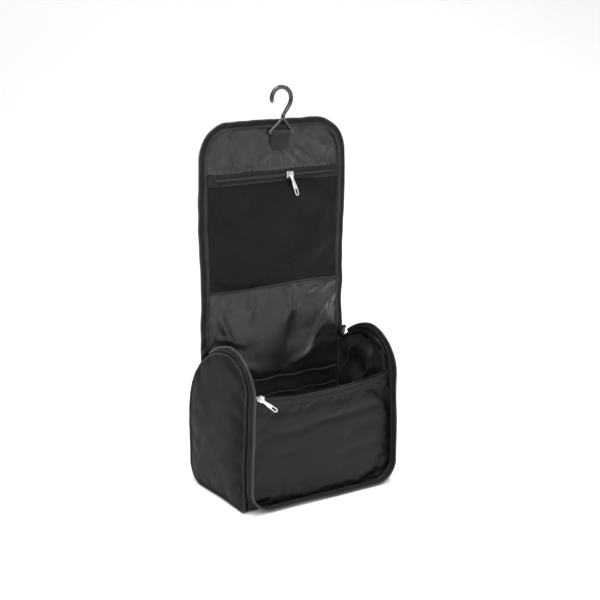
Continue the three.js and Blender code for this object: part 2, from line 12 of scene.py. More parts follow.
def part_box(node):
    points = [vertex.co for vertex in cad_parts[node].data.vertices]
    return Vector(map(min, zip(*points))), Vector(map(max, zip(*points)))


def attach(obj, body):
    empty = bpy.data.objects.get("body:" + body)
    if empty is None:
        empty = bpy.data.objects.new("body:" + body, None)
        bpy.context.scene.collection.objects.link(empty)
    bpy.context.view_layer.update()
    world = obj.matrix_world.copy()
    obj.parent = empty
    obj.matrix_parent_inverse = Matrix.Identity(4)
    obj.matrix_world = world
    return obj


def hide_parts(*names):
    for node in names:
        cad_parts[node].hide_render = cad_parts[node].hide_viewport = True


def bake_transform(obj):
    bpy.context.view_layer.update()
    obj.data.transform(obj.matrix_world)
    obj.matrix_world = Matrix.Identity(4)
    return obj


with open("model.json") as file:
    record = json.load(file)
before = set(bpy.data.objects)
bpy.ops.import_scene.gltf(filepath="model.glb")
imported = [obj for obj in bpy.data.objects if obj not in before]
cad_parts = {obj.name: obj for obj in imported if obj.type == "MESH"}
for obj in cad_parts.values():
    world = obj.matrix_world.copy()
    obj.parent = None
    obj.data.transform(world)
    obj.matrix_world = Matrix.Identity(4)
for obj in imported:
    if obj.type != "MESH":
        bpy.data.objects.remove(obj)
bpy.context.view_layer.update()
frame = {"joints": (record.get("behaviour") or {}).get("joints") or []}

MM = 0.001

# ---- Camera: the photographed angle, from the front left and a little above ----

EYE = Vector((-0.894, -1.370, 0.640))
AIM = Vector((0.012, 0.004, 0.239))
LENS = 80.2

camera = bpy.data.objects.new("camera", bpy.data.cameras.new("camera"))
camera.location = EYE
camera.rotation_euler = (AIM - EYE).to_track_quat("-Z", "Y").to_euler()
camera.data.lens = LENS
bpy.context.scene.collection.objects.link(camera)
bpy.context.scene.camera = camera

# ---- Where things are, from the CAD nodes ----

END_INSET = 4.4 * MM               # the end panels stop this far inside the arch outline
TOE_R, HEEL_R, BACK_R, FRONT_R = 8 * MM, 30 * MM, 98 * MM, 45 * MM

end_low, end_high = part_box("left_end_panel")
FRONT = end_low.y - END_INSET
BACK = end_high.y + END_INSET
TOP = end_high.z + END_INSET
HALF = -end_low.x
CREST = FRONT + FRONT_R

lining_low, lining_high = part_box("flap_face_lining")
FLAP_HALF = lining_high.x
FLAP_TOP = lining_high.z
FLAP_FACE = lining_low.y           # the flap lining's inner face
COVER_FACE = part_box("flap_face_cover")[1].y
FLAP_CORNER_R = 37.7 * MM

JOINTS = {joint["name"]: joint for joint in frame["joints"]}
BENDS = [JOINTS[name] for name in
         ("flap_close", "flap_lean_back", "flap_fold_rear", "flap_fold_crest", "flap_fold_brow")]
CUTS = [176 * MM, 199.5 * MM, 246 * MM, 299 * MM]
BAND_NAMES = ["hinge", "rear", "crest", "brow", "face"]
BASE_BAND = 0                      # the band that starts on the bag's body


# ---- Small mathematics ----

def smooth(x, start, end):
    """0 at start and 1 at end, with no corner at either."""
    t = np.clip((np.asarray(x, float) - start) / (end - start), 0, 1)
    return t * t * (3 - 2 * t)


def hump(x, centre, width):
    """1 at the centre, falling off on both sides."""
    return np.exp(-(((np.asarray(x, float) - centre) / width) ** 2))


def unit(v):
    """Each vector at length 1."""
    return v / np.maximum(np.linalg.norm(v, axis=-1, keepdims=True), 1e-12)


def stack(*parts):
    """Numbers or arrays of the same shape, side by side as the columns of points."""
    return np.stack(np.broadcast_arrays(*[np.asarray(p, float) for p in parts]), -1)


RIPPLE_WAVES = 7


def ripple(a, b, wavelength, seed):
    """An uneven height field over two coordinates, mostly from -1 to 1, the same for the same seed."""
    draw = np.random.default_rng(seed)
    total = 0
    for _ in range(RIPPLE_WAVES):
        angle, phase = draw.uniform(0, 2 * math.pi, 2)
        pace = 2 * math.pi / (wavelength * draw.uniform(0.7, 1.5))
        total = total + np.sin((a * math.cos(angle) + b * math.sin(angle)) * pace + phase)
    return total / math.sqrt(RIPPLE_WAVES)


def wavy(a, wavelength, seed):
    """An uneven height along one coordinate."""
    return ripple(a, 0 * a, wavelength, seed)


def crease(a, b, start, end, width, height):
    """A soft ridge along a line from start to end in two coordinates, fading at both ends."""
    (a0, b0), (a1, b1) = start, end
    length = math.hypot(a1 - a0, b1 - b0)
    along = ((a - a0) * (a1 - a0) + (b - b0) * (b1 - b0)) / length
    aside = ((a - a0) * (b1 - b0) - (b - b0) * (a1 - a0)) / length
    fade = smooth(along, -0.1 * length, 0.3 * length) * smooth(along, 1.1 * length, 0.6 * length)
    return height * fade * np.exp(-((aside / width) ** 2))


def resample(path, count):
    """A path's points and anything carried with them, spaced evenly along its first three columns."""
    steps = np.linalg.norm(np.diff(path[:, :3], axis=0), axis=1)
    run = np.concatenate([[0], np.cumsum(steps)])
    at = np.linspace(0, run[-1], count)
    return np.stack([np.interp(at, run, column) for column in path.T], 1)


def arc(centre, radius, start, end, count=14):
    """Points round an arc in two coordinates, from one angle to another in degrees."""
    angle = np.radians(np.linspace(start, end, count))
    return np.stack([centre[0] + radius * np.cos(angle), centre[1] + radius * np.sin(angle)], 1)


def path_length(path):
    """The length of a path through its points."""
    return float(np.linalg.norm(np.diff(path, axis=0), axis=1).sum())


LEFT, RIGHT = (-1, 0, 0), (1, 0, 0)
FRONTWARD, BACKWARD = (0, -1, 0), (0, 1, 0)
DOWN, UP = (0, 0, -1), (0, 0, 1)
SIDES = (("left", -1, LEFT, RIGHT), ("right", 1, RIGHT, LEFT))     # name, sign of x, outward, inward


def spread(way, at):
    """One direction for all of a path's points, or one for each, as a row for each point."""
    return np.broadcast_to(np.asarray(way, float), at.shape)


def stations(at, out, across):
    """A path whose columns are point, out and across, three each."""
    return np.column_stack([at, spread(out, at), spread(across, at)])


# ---- The arch outline of the bag's ends, in (y, z) ----

ARCH = [(FRONT + TOE_R, TOE_R, TOE_R, 180, 270), (BACK - HEEL_R, HEEL_R, HEEL_R, 270, 360),
        (CREST, TOP - BACK_R, BACK_R, 0, 90), (CREST, TOP - FRONT_R, FRONT_R, 90, 180)]
ARC_STEPS = 60


def arch_table():
    """Points and outward directions round the arch, and the running length at each of them."""
    rows = []
    for y, z, r, start, end in ARCH:
        points, outward = arc((y, z), r, start, end, ARC_STEPS), arc((0, 0), 1, start, end, ARC_STEPS)
        rows.append(np.hstack([points, outward]))
    table = np.concatenate([*rows, rows[0][:1]])
    run = np.concatenate([[0], np.cumsum(np.linalg.norm(np.diff(table[:, :2], axis=0), axis=1))])
    return table, run


ARCH_TABLE, ARCH_RUN = arch_table()
ARCH_LENGTH = ARCH_RUN[-1]
TOE, HEEL, BACK_SHOULDER, FRONT_SHOULDER = range(4)


def arch_mark(corner, degrees):
    """The running length at an angle on one of the four corners."""
    _, _, r, start, _ = ARCH[corner]
    return ARCH_RUN[corner * ARC_STEPS] + r * math.radians(degrees - start)


def on_arch(run, offset, x):
    """Points at running lengths round the arch, moved outward by offset, and their outward directions."""
    run = np.mod(run, ARCH_LENGTH)
    y, z, ny, nz = (np.interp(run, ARCH_RUN, column) for column in ARCH_TABLE.T)
    out = unit(stack(0 * ny, ny, nz))
    return stack(x, y, z) + out * offset, out


LEFT_BELLY, RIGHT_BELLY = 5.5 * MM, 3.0 * MM
BELLY_TOP, BELLY_FULL, BELLY_FOOT = 160 * MM, 50 * MM, 30 * MM


def settle(p):
    """Lets the soft body slump: its ends belly out low down, most at the front left."""
    x, y, z = np.moveaxis(np.asarray(p, float), -1, 0)
    share = np.clip(np.abs(x) / HALF, 0, 1.1) ** 4
    low = smooth(z, BELLY_TOP, BELLY_FULL) * (1 - 0.35 * smooth(z, BELLY_FOOT, 0))
    front = 0.3 + 0.7 * smooth(y, 50 * MM, -50 * MM)
    moved = np.array(p, float)
    moved[..., 0] += np.sign(x) * share * low * front * np.where(x < 0, LEFT_BELLY, RIGHT_BELLY)
    moved[..., 0] += 0.7 * MM * share * ripple(y, z, 90 * MM, 3)
    moved[..., 2] = np.maximum(moved[..., 2], 0)
    return moved


PINCH, PINCH_Z, PINCH_SPAN = 4.5 * MM, 212 * MM, 26 * MM
FLAP_WAVE, FLAP_BOW = 1.6 * MM, 1.5 * MM


def settle_flap(p):
    """Lets the flap stand a little uneven: pinched at the right near its hinge, and faintly bowed."""
    x, _, z = np.moveaxis(np.asarray(p, float), -1, 0)
    share = x / FLAP_HALF
    risen = smooth(z, 172 * MM, 215 * MM)
    moved = np.array(p, float)
    moved[..., 0] -= PINCH * np.clip(share, 0, 1.1) ** 3 * hump(z, PINCH_Z, PINCH_SPAN)
    moved[..., 0] += FLAP_WAVE * np.abs(share) ** 3 * risen * np.sin(z / (31 * MM) + 2.2 * (x > 0))
    moved[..., 1] += FLAP_BOW * risen * np.sin(z / (42 * MM)) * np.clip(share, -1, 1)
    return moved


# ---- Making meshes ----

def make_object(name, verts, faces, material, corner=40, loop_normals=None):
    """An object of its own from vertices and faces; corners sharper than the angle stay crisp."""
    mesh = bpy.data.meshes.new(name)
    mesh.from_pydata(np.asarray(verts).tolist(), [], [list(map(int, face)) for face in faces])
    mesh.polygons.foreach_set("use_smooth", [True] * len(mesh.polygons))
    if loop_normals is None:
        mesh.set_sharp_from_angle(angle=math.radians(corner))
    else:
        mesh.normals_split_custom_set(loop_normals.tolist())
    mesh.materials.append(material)
    made = bpy.data.objects.new(name, mesh)
    bpy.context.scene.collection.objects.link(made)
    return made


def grid_faces(rows, cols):
    """The four-sided faces of a grid of points."""
    index = np.arange(rows * cols).reshape(rows, cols)
    return np.stack([index[:-1, :-1], index[:-1, 1:], index[1:, 1:], index[1:, :-1]],
                    -1).reshape(-1, 4)


def grid_normals(grid, towards):
    """A unit normal at each point of a grid, on the side that towards points to."""
    across = np.gradient(grid, axis=1)
    along = np.gradient(grid, axis=0)
    normals = unit(np.cross(across, along))
    if float((normals @ np.asarray(towards, float)).mean()) < 0:
        normals = -normals
    return normals


def refine(grid):
    """Twice as fine a grid through the same points, with a smooth curve between them."""
    for axis in (0, 1):
        g = np.moveaxis(grid, axis, 0)
        before, after = 2 * g[0] - g[1], 2 * g[-1] - g[-2]
        padded = np.concatenate([before[None], g, after[None]])
        middle = (9 * (padded[1:-2] + padded[2:-1]) - padded[:-3] - padded[3:]) / 16
        fine = np.empty((2 * len(g) - 1, *g.shape[1:]))
        fine[::2], fine[1::2] = g, middle
        grid = np.moveaxis(fine, 0, axis)
    return grid


def slab(name, grid, normals, thick, material):
    """A thin closed solid under a grid, shaded by the grid's own normals so that cuts don't show."""
    rows, cols = grid.shape[:2]
    count = rows * cols
    verts = np.concatenate([grid.reshape(-1, 3), (grid - normals * thick).reshape(-1, 3)])
    flat_normals = normals.reshape(-1, 3)
    index = np.arange(count).reshape(rows, cols)
    top = grid_faces(rows, cols)
    a, b, c = (verts[top[:, i]] for i in range(3))
    flipped = float((np.cross(b - a, c - a) * flat_normals[top[:, 0]]).sum()) < 0
    rim = np.concatenate([index[0, :-1], index[:-1, -1], index[-1, :0:-1], index[:0:-1, 0]])
    after = np.roll(rim, -1)
    wall = np.stack([after, rim, rim + count, after + count], 1)
    if flipped:
        top, wall = top[:, ::-1], wall[:, ::-1]
    under = top[:, ::-1] + count
    a, b, d = verts[wall[:, 0]], verts[wall[:, 1]], verts[wall[:, 3]]
    wall_normals = np.repeat(unit(np.cross(b - a, d - a)), 4, axis=0)
    loops = np.concatenate([flat_normals[top.ravel()], -flat_normals[under.ravel() - count],
                            wall_normals])
    return make_object(name, verts, np.concatenate([top, under, wall]), material,
                       loop_normals=loops)


def tube_mesh(at, u, v, section, closed=False):
    """Vertices and faces of a section carried along stations; the section may differ at each one."""
    section = np.broadcast_to(section, (len(at), *section.shape[-2:]))
    u, v = spread(u, at)[:, None], spread(v, at)[:, None]
    points = at[:, None] + u * section[..., 0:1] + v * section[..., 1:2]
    size = section.shape[1]
    here = np.arange(len(at) if closed else len(at) - 1)[:, None] * size
    after = (here + size) % (len(at) * size)
    j, k = np.arange(size), np.roll(np.arange(size), -1)
    faces = np.stack([here + j, here + k, after + k, after + j], -1).reshape(-1, 4).tolist()
    if not closed:
        last = (len(at) - 1) * size
        faces += [list(range(size))[::-1], list(range(last, last + size))]
    verts = points.reshape(-1, 3)
    quads = np.array(faces[:(len(at) - (not closed)) * size])
    a, b, c, d = (verts[quads[:, i]] for i in range(4))
    volume = float((a * np.cross(b, c)).sum() + (a * np.cross(c, d)).sum())
    return verts, faces if volume > 0 else [face[::-1] for face in faces]


def tube(name, at, u, v, section, material, closed=False):
    """An object made of a section that is carried along stations."""
    return make_object(name, *tube_mesh(at, u, v, section, closed), material)


def circle(radius, sides=12):
    """A round section."""
    return arc((0, 0), radius, 0, 360, sides + 1)[:-1]


def oval(half_u, half_v, sides=16, power=2.6, centre=(0, 0)):
    """A rounded box section, rounder for a power near 2."""
    angle = np.linspace(0, 2 * math.pi, sides, endpoint=False)
    c, s = np.cos(angle), np.sin(angle)
    u = np.sign(c) * np.abs(c) ** (2 / power) * half_u + centre[0]
    v = np.sign(s) * np.abs(s) ** (2 / power) * half_v + centre[1]
    return np.stack([u, v], 1)


def scaled(section, scale):
    """A section for each station, larger or smaller by that station's scale."""
    return section[None] * np.asarray(scale)[:, None, None]


def prism(section, half, taper):
    """A short solid bar in (along, out, across): the section lies in (along, out), ends tapered."""
    middle = section.mean(0)
    levels = half * np.array([-1, -0.6, 0.6, 1])
    rings = np.array([middle + (section - middle) * scale for scale in (taper, 1, 1, taper)])
    return tube_mesh(levels[:, None] * UP, RIGHT, BACKWARD, rings)


TOOTH_PITCH = 2.1 * MM
TOOTH_HALF_LENGTH = 0.4 * TOOTH_PITCH
STITCH_PITCH = 3.2 * MM
THREAD_R = 0.28 * MM


def tooth_template(width, thick):
    """One coil tooth: a rounded bar across the tape."""
    section = oval(TOOTH_HALF_LENGTH, width / 2, sides=6, power=2.4, centre=(0, width / 2))
    return prism(section, thick / 2, taper=0.7)


def stitch_template(length):
    """One stitch of thread, which lies along the seam."""
    points, faces = prism(circle(THREAD_R, 5), length / 2, taper=0.35)
    return points[:, [2, 0, 1]], faces


def parts_of(path):
    """A path's points, and its out and across directions at length 1."""
    return path[:, :3], unit(path[:, 3:6]), unit(path[:, 6:9])


def row_of(name, template, path, pitch, material):
    """One mesh of copies of a template along a path; it is drawn in (along, out, across)."""
    count = max(2, round(path_length(path[:, :3]) / pitch))
    at, out, across = parts_of(resample(path, 2 * count + 1)[1::2])
    axes = np.stack([unit(np.cross(out, across)), out, across], 1)
    points, faces = template
    verts = (at[:, None] + points @ axes).reshape(-1, 3)
    all_faces = [[i * len(points) + j for j in face] for i in range(len(at)) for face in faces]
    return make_object(name, verts, all_faces, material)


# ---- Materials, all procedural and in the object's own coordinates ----

def set_inputs(tree, node, inputs):
    """Links or sets a node's inputs."""
    for key, value in inputs.items():
        if isinstance(value, bpy.types.NodeSocket):
            tree.links.new(value, node.inputs[key])
        else:
            node.inputs[key].default_value = value


def add_node(tree, kind, inputs=None, **settings):
    """A new node with its settings and inputs."""
    made = tree.nodes.new(kind)
    for key, value in settings.items():
        setattr(made, key, value)
    set_inputs(tree, made, inputs or {})
    return made


def add_math(tree, operation, a, b=0.0):
    """The result of one sum of two inputs."""
    return add_node(tree, "ShaderNodeMath", {0: a, 1: b}, operation=operation).outputs[0]


def weave_height(tree, coordinates, pitch):
    """Threads crossing at a pitch: the sum of one fine wave along each axis."""
    total = None
    for way in "XYZ":
        wave = add_node(tree, "ShaderNodeTexWave", {
            "Vector": coordinates, "Scale": 2 * math.pi / pitch / 20, "Distortion": 0.6, "Detail": 1.0,
            "Detail Scale": 0.6}, wave_type="BANDS", bands_direction=way, wave_profile="SIN")
        total = wave.outputs["Fac"] if total is None else add_math(tree, "ADD", total, wave.outputs["Fac"])
    return total


def noise_height(tree, coordinates, scale, detail=3.0):
    """A soft uneven height."""
    return add_node(tree, "ShaderNodeTexNoise", {
        "Vector": coordinates, "Scale": scale, "Detail": detail}).outputs["Fac"]


def dark_and_light(tree, factor, dark, light, low=0.35, high=0.65):
    """A colour that runs from dark to light as the factor rises."""
    ramp = add_node(tree, "ShaderNodeValToRGB", {"Fac": factor})
    for element, place, shade in zip(ramp.color_ramp.elements, (low, high), (dark, light)):
        element.position = place
        element.color = (*shade, 1)
    return ramp.outputs["Color"]


def painted_edge_highlight(tree, colour, amount, light):
    """Lightens a colour where the surface is sharply convex: a painted highlight along edges and ridges."""
    pointed = add_node(tree, "ShaderNodeNewGeometry").outputs["Pointiness"]
    edge = add_node(tree, "ShaderNodeMapRange", {
        "Value": pointed, "From Min": 0.52, "From Max": 0.62, "To Min": 0.0, "To Max": amount})
    mix = add_node(tree, "ShaderNodeMix", {"Factor": edge.outputs["Result"]}, data_type="RGBA")
    set_inputs(tree, mix, {"A": colour, "B": (*light, 1)})
    return mix.outputs["Result"]


def new_material(name, slot):
    """A material for one of the record's slots, with its tree, its surface and the object's coordinates."""
    material = bpy.data.materials.new(name)
    material["slot"] = slot
    material.use_nodes = True
    tree = material.node_tree
    coordinates = add_node(tree, "ShaderNodeTexCoord").outputs["Object"]
    return material, tree, tree.nodes["Principled BSDF"], coordinates


def cloth(name, slot, dark, light, roughness, pitch, weave, crumple, sheen=0.0, coat=0.0,
          uneven_gloss=0.06, edge=None, specular=0.5):
    """Woven cloth: mottled colour, a thread grid and fine crumples in its bump, and uneven gloss."""
    material, tree, surface, coordinates = new_material(name, slot)
    mottle = noise_height(tree, coordinates, 28.0, 4.0)
    colour = dark_and_light(tree, mottle, dark, light)
    # Painted highlight: where an edge colour is given, sharp convex edges and ridges are lightened towards
    # it.
    if edge:
        colour = painted_edge_highlight(tree, colour, 0.6, edge)
    gloss = add_node(tree, "ShaderNodeMapRange", {
        "Value": noise_height(tree, coordinates, 55.0), "From Min": 0.3, "From Max": 0.7,
        "To Min": roughness - uneven_gloss, "To Max": roughness + uneven_gloss})
    threads = add_node(tree, "ShaderNodeBump", {
        "Strength": weave, "Distance": 0.0001, "Height": weave_height(tree, coordinates, pitch)})
    crumples = add_node(tree, "ShaderNodeBump", {
        "Strength": crumple, "Distance": 0.0012, "Height": noise_height(tree, coordinates, 90.0, 2.0),
        "Normal": threads.outputs["Normal"]})
    set_inputs(tree, surface, {
        "Base Color": colour, "Roughness": gloss.outputs["Result"], "Normal": crumples.outputs["Normal"],
        "Sheen Weight": sheen, "Sheen Roughness": 0.4, "Coat Weight": coat, "Coat Roughness": 0.3,
        "Specular IOR Level": specular})
    return material


def metal(name, slot, colour, roughness, metallic, coat=0.0):
    """Cast metal or moulded plastic: fine scuffs, uneven gloss and lighter edges, a painted highlight."""
    material, tree, surface, coordinates = new_material(name, slot)
    stretched = add_node(tree, "ShaderNodeMapping", {"Vector": coordinates, "Scale": (1, 1, 0.15)})
    scuffs = noise_height(tree, stretched.outputs["Vector"], 900.0, 2.0)
    shade = dark_and_light(tree, scuffs, [c * 0.82 for c in colour], colour, 0.3, 0.6)
    # Painted highlight: sharp convex edges lightened.
    shade = painted_edge_highlight(tree, shade, 0.35, [min(1, c * 1.25 + 0.02) for c in colour])
    gloss = add_node(tree, "ShaderNodeMapRange", {
        "Value": scuffs, "To Min": roughness * 0.7, "To Max": roughness * 1.5})
    bump = add_node(tree, "ShaderNodeBump", {
        "Strength": 0.15, "Distance": 0.0001, "Height": noise_height(tree, coordinates, 400.0)})
    set_inputs(tree, surface, {
        "Base Color": shade, "Roughness": gloss.outputs["Result"], "Normal": bump.outputs["Normal"],
        "Metallic": metallic, "Coat Weight": coat})
    return material


def net(name, slot, colour, pitch, open_share):
    """Fine knitted net: a cloth with a grid of small round holes that show what is behind."""
    material = cloth(name, slot, colour, [c * 1.5 for c in colour], 0.5, pitch, 0.6, 0.1, specular=0.16)
    tree = material.node_tree
    coordinates = next(n for n in tree.nodes if n.type == "TEX_COORD").outputs["Object"]
    split = add_node(tree, "ShaderNodeSeparateXYZ", {"Vector": coordinates})
    rows = add_math(tree, "SINE", add_math(tree, "MULTIPLY", split.outputs["X"], 2 * math.pi / pitch))
    columns = add_math(tree, "SINE", add_math(tree, "MULTIPLY", split.outputs["Z"], 2 * math.pi / pitch))
    hole = add_math(tree, "GREATER_THAN", add_math(tree, "MULTIPLY", rows, columns), 1 - open_share)
    clear = add_node(tree, "ShaderNodeBsdfTransparent")
    mix = add_node(tree, "ShaderNodeMixShader", {
        0: hole, 1: tree.nodes["Principled BSDF"].outputs[0], 2: clear.outputs[0]})
    set_inputs(tree, tree.nodes["Material Output"], {"Surface": mix.outputs[0]})
    return material


NYLON = cloth("satin_nylon", "shell_nylon", (0.0036, 0.0034, 0.0034), (0.0065, 0.0062, 0.0062), 0.48,
              0.9 * MM, 0.35, 0.05, sheen=0.01, specular=0.06)
POCKET_NYLON = cloth("pocket_nylon", "shell_nylon", (0.0018, 0.0018, 0.0018), (0.0034, 0.0034, 0.0034),
                     0.35, 0.9 * MM, 0.35, 0.10, sheen=0.01, specular=0.21)
# The edge colours of the welt, tape and webbing are painted highlights along their convex edges.
WELT = cloth("welt_nylon", "shell_nylon", (0.0045, 0.0045, 0.0045), (0.0085, 0.008, 0.008), 0.45,
             0.8 * MM, 0.8, 0.2, sheen=0.03, edge=(0.02, 0.02, 0.02), specular=0.22)
LINING = cloth("coated_lining", "lining_cloth", (0.009, 0.0086, 0.009), (0.015, 0.0142, 0.0146), 0.33,
               0.7 * MM, 0.3, 0.24, sheen=0.04, coat=0.2, uneven_gloss=0.08, specular=0.38)
NET = net("pocket_net", "mesh_net", (0.0034, 0.0034, 0.0034), 1.3 * MM, 0.45)
TAPE = cloth("zip_tape", "zip_tape", (0.004, 0.004, 0.004), (0.009, 0.0085, 0.0085), 0.7, 1.1 * MM,
             1.0, 0.3, sheen=0.06, edge=(0.03, 0.03, 0.029), specular=0.2)
# The teeth's grey is lighter than the black tape and cloth: a painted highlight, so that the rows of teeth
# read as catching light.
TEETH = metal("zip_teeth", "zip_teeth", (0.036, 0.036, 0.036), 0.28, 0.0)
COIL = metal("zip_coil", "zip_teeth", (0.010, 0.010, 0.010), 0.36, 0.0)
WEBBING = cloth("webbing", "webbing", (0.007, 0.007, 0.007), (0.017, 0.0165, 0.0165), 0.6, 1.6 * MM,
                1.0, 0.3, sheen=0.08, edge=(0.035, 0.035, 0.035), specular=0.28)
THREAD = cloth("thread", "webbing", (0.010, 0.010, 0.010), (0.022, 0.021, 0.021), 0.5, 0.4 * MM, 0.8,
               0.1, sheen=0.1, specular=0.35)
ELASTIC = cloth("elastic", "webbing", (0.003, 0.003, 0.003), (0.007, 0.007, 0.007), 0.6, 1.6 * MM,
                1.0, 0.3, sheen=0.03, specular=0.2)
NICKEL = metal("nickel", "nickel", (0.70, 0.69, 0.67), 0.2, 1.0)
HOOK_PLASTIC = metal("hook_plastic", "hook_plastic", (0.022, 0.023, 0.026), 0.25, 0.1, coat=0.4)

# ---- Cloth: grids relaxed by simulation, with their rims held ----

SIM_FRAMES = 18


def cloth_object(name, sheet):
    """A temporary cloth object for one grid, with its held points pinned."""
    grid = sheet["grid"]
    faces = grid_faces(*grid.shape[:2])
    points = grid.reshape(-1, 3)
    a, b, c = (points[faces[:, i]] for i in range(3))
    if float((np.cross(b - a, c - a) @ np.asarray(sheet["towards"], float)).sum()) < 0:
        faces = faces[:, ::-1]
    mesh = bpy.data.meshes.new(name)
    mesh.from_pydata(points.tolist(), [], faces.tolist())
    made = bpy.data.objects.new(name, mesh)
    bpy.context.scene.collection.objects.link(made)
    group = made.vertex_groups.new(name="held")
    group.add(np.flatnonzero(sheet["held"].ravel()).tolist(), 1.0, "REPLACE")
    cloth_modifier = made.modifiers.new("cloth", "CLOTH")
    settings = cloth_modifier.settings
    settings.quality = 6
    settings.mass = 0.2
    settings.bending_stiffness = sheet.get("stiff", 0.3)
    settings.tension_stiffness = settings.compression_stiffness = 12
    settings.air_damping = 3
    settings.vertex_group_mass = "held"
    settings.use_pressure = True
    settings.uniform_pressure_force = sheet["pressure"]
    settings.shrink_min = -sheet["slack"]
    settings.effector_weights.gravity = 0
    cloth_modifier.collision_settings.use_collision = False
    return made


def simulate(sheets):
    """Relaxes every grid at once and returns the new ones; no point moves further than its cap."""
    scene = bpy.context.scene
    objects = {name: cloth_object(name, sheet) for name, sheet in sheets.items()}
    for number in range(1, SIM_FRAMES + 1):
        scene.frame_set(number)
    graph = bpy.context.evaluated_depsgraph_get()
    relaxed = {}
    for name, made in objects.items():
        old = sheets[name]["grid"]
        new = np.empty(old.size, np.float32)
        made.evaluated_get(graph).data.vertices.foreach_get("co", new)
        move = new.reshape(old.shape) - old
        distance = np.maximum(np.linalg.norm(move, axis=-1, keepdims=True), 1e-9)
        cap = sheets[name]["cap"]
        relaxed[name] = old + move * (cap * np.tanh(distance / cap) / distance)
        mesh = made.data
        bpy.data.objects.remove(made)
        bpy.data.meshes.remove(mesh)
    scene.frame_set(1)
    return relaxed


def rim_mask(rows, cols, *extra_rows):
    """True on the rim of a grid, and on any other rows that are sewn down."""
    mask = np.zeros((rows, cols), bool)
    mask[[0, -1], :] = mask[:, [0, -1]] = True
    for row in extra_rows:
        mask[row] = True
    return mask


def coons(bottom, top, left, right):
    """A grid that fills four border curves; bottom and top run the same way, and so do the sides."""
    s = np.linspace(0, 1, len(bottom))[None, :, None]
    t = np.linspace(0, 1, len(left))[:, None, None]
    ruled = (1 - t) * bottom[None] + t * top[None] + (1 - s) * left[:, None] + s * right[:, None]
    corners = ((1 - t) * ((1 - s) * bottom[0] + s * bottom[-1])
               + t * ((1 - s) * top[0] + s * top[-1]))
    return ruled - corners


# ---- Sheets of the body before they relax ----

END_ROWS, END_COLS = 34, 26


def end_grid(x, offset):
    """A grid that fills the arch outline at one x."""
    front_low, back_low = arch_mark(TOE, 225), arch_mark(HEEL, 315)
    back_high, front_high = arch_mark(BACK_SHOULDER, 48), arch_mark(FRONT_SHOULDER, 132)

    def side(start, end, count):
        """The outline between two running lengths."""
        return on_arch(np.linspace(start, end, count), offset, x)[0]

    return coons(side(front_low, back_low, END_COLS), side(front_high, back_high, END_COLS),
                 side(front_low + ARCH_LENGTH, front_high, END_ROWS),
                 side(back_low, back_high, END_ROWS))


def band_grid(path, half, cols):
    """A grid along a (y, z) path, reaching from -half to half in x."""
    return stack(half * np.linspace(-1, 1, cols)[None, :], path[:, :1], path[:, 1:])


def polyline(points, step):
    """A path through points, spaced about a step apart."""
    points = np.asarray(points, float)
    padded = np.concatenate([points, np.zeros((len(points), 1))], 1)
    return resample(padded, max(3, round(path_length(points) / step)))[:, :2]


SHELL_HALF, SHELL_COLS = 107.2 * MM, 40
POCKET_ROWS, POCKET_COLS = 26, 42
BAND_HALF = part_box("bottom_panel")[1].x
SEAM = -45                          # degrees round the heel where the bottom meets the back
BACK_END = 46.5                     # degrees up the back shoulder where the back panel ends
HINGE_Z = JOINTS["flap_close"]["pos_m"][2]
ZIP_R = 497 * MM
ZIP_LOW = 134 * MM
ZIP_CENTRE = ZIP_LOW + ZIP_R
TAPE_DROP = 4 * MM


def zip_line(x, drop=0.0):
    """The height of the pocket's curved zip at x, or of a line parallel to it and lower by drop."""
    return ZIP_CENTRE - np.sqrt((ZIP_R + drop) ** 2 - x ** 2)


def pocket_grid(y, low, half=BAND_HALF):
    """A wall of the front, from a height up to the pocket's curved zip."""
    x = np.linspace(-half, half, POCKET_COLS)
    t = np.linspace(0, 1, POCKET_ROWS)[:, None]
    return stack(x, y, low + t * (zip_line(x, TAPE_DROP) - low))


def back_path():
    """From the seam at the heel, up the back and over to the hinge line, in (y, z)."""
    run = np.linspace(arch_mark(HEEL, 360 + SEAM), arch_mark(BACK_SHOULDER, BACK_END), 34)
    curve = on_arch(run, -0.2 * MM, 0.0)[0][:, 1:]
    rise = polyline([curve[-1], (COVER_FACE, HINGE_Z), (COVER_FACE, CUTS[0])], 4 * MM)
    return np.concatenate([curve, rise[1:]])


def bottom_path():
    """From the toe, under the bag to the seam at the heel, in (y, z)."""
    run = np.linspace(arch_mark(TOE, 180), arch_mark(HEEL, 360 + SEAM), 36)
    return on_arch(run, -0.1 * MM, 0.0)[0][:, 1:]


# ---- Sheets of the flap before they relax ----

TAPE_INNER = FLAP_HALF + 0.3 * MM
CORNER_X = TAPE_INNER - 38 * MM
CORNER_Z = FLAP_TOP - FLAP_CORNER_R
FLAP_COLS = 64
NET_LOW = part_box("flap_crest_mesh")[0].z
NET_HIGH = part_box("flap_face_mesh")[1].z
NET_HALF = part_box("flap_face_mesh")[1].x
ZIP_Z = (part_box("flap_zip_tape")[0].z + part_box("flap_zip_tape")[1].z) / 2
SEW_Z = ZIP_Z + 6 * MM              # the stitched seam above the flap's zip


def heights(low, high, step, marks=()):
    """Row heights from low to high that include every cut and mark between them."""
    inner = sorted({m for m in [*CUTS, *marks] if low + 1e-6 < m < high - 1e-6})
    stops = [low, *inner, high]
    rows = []
    for a, b in zip(stops, stops[1:]):
        rows += list(np.linspace(a, b, max(2, round((b - a) / step)), endpoint=False))
    return np.array([*rows, high])


def flap_rows(low, marks=()):
    """Row heights up the flap, closer together round its top corners."""
    turn = CORNER_Z + FLAP_CORNER_R * np.sin(np.radians(np.linspace(0, 90, 9)))
    return np.concatenate([heights(low, CORNER_Z, 6 * MM, marks), turn[1:]])


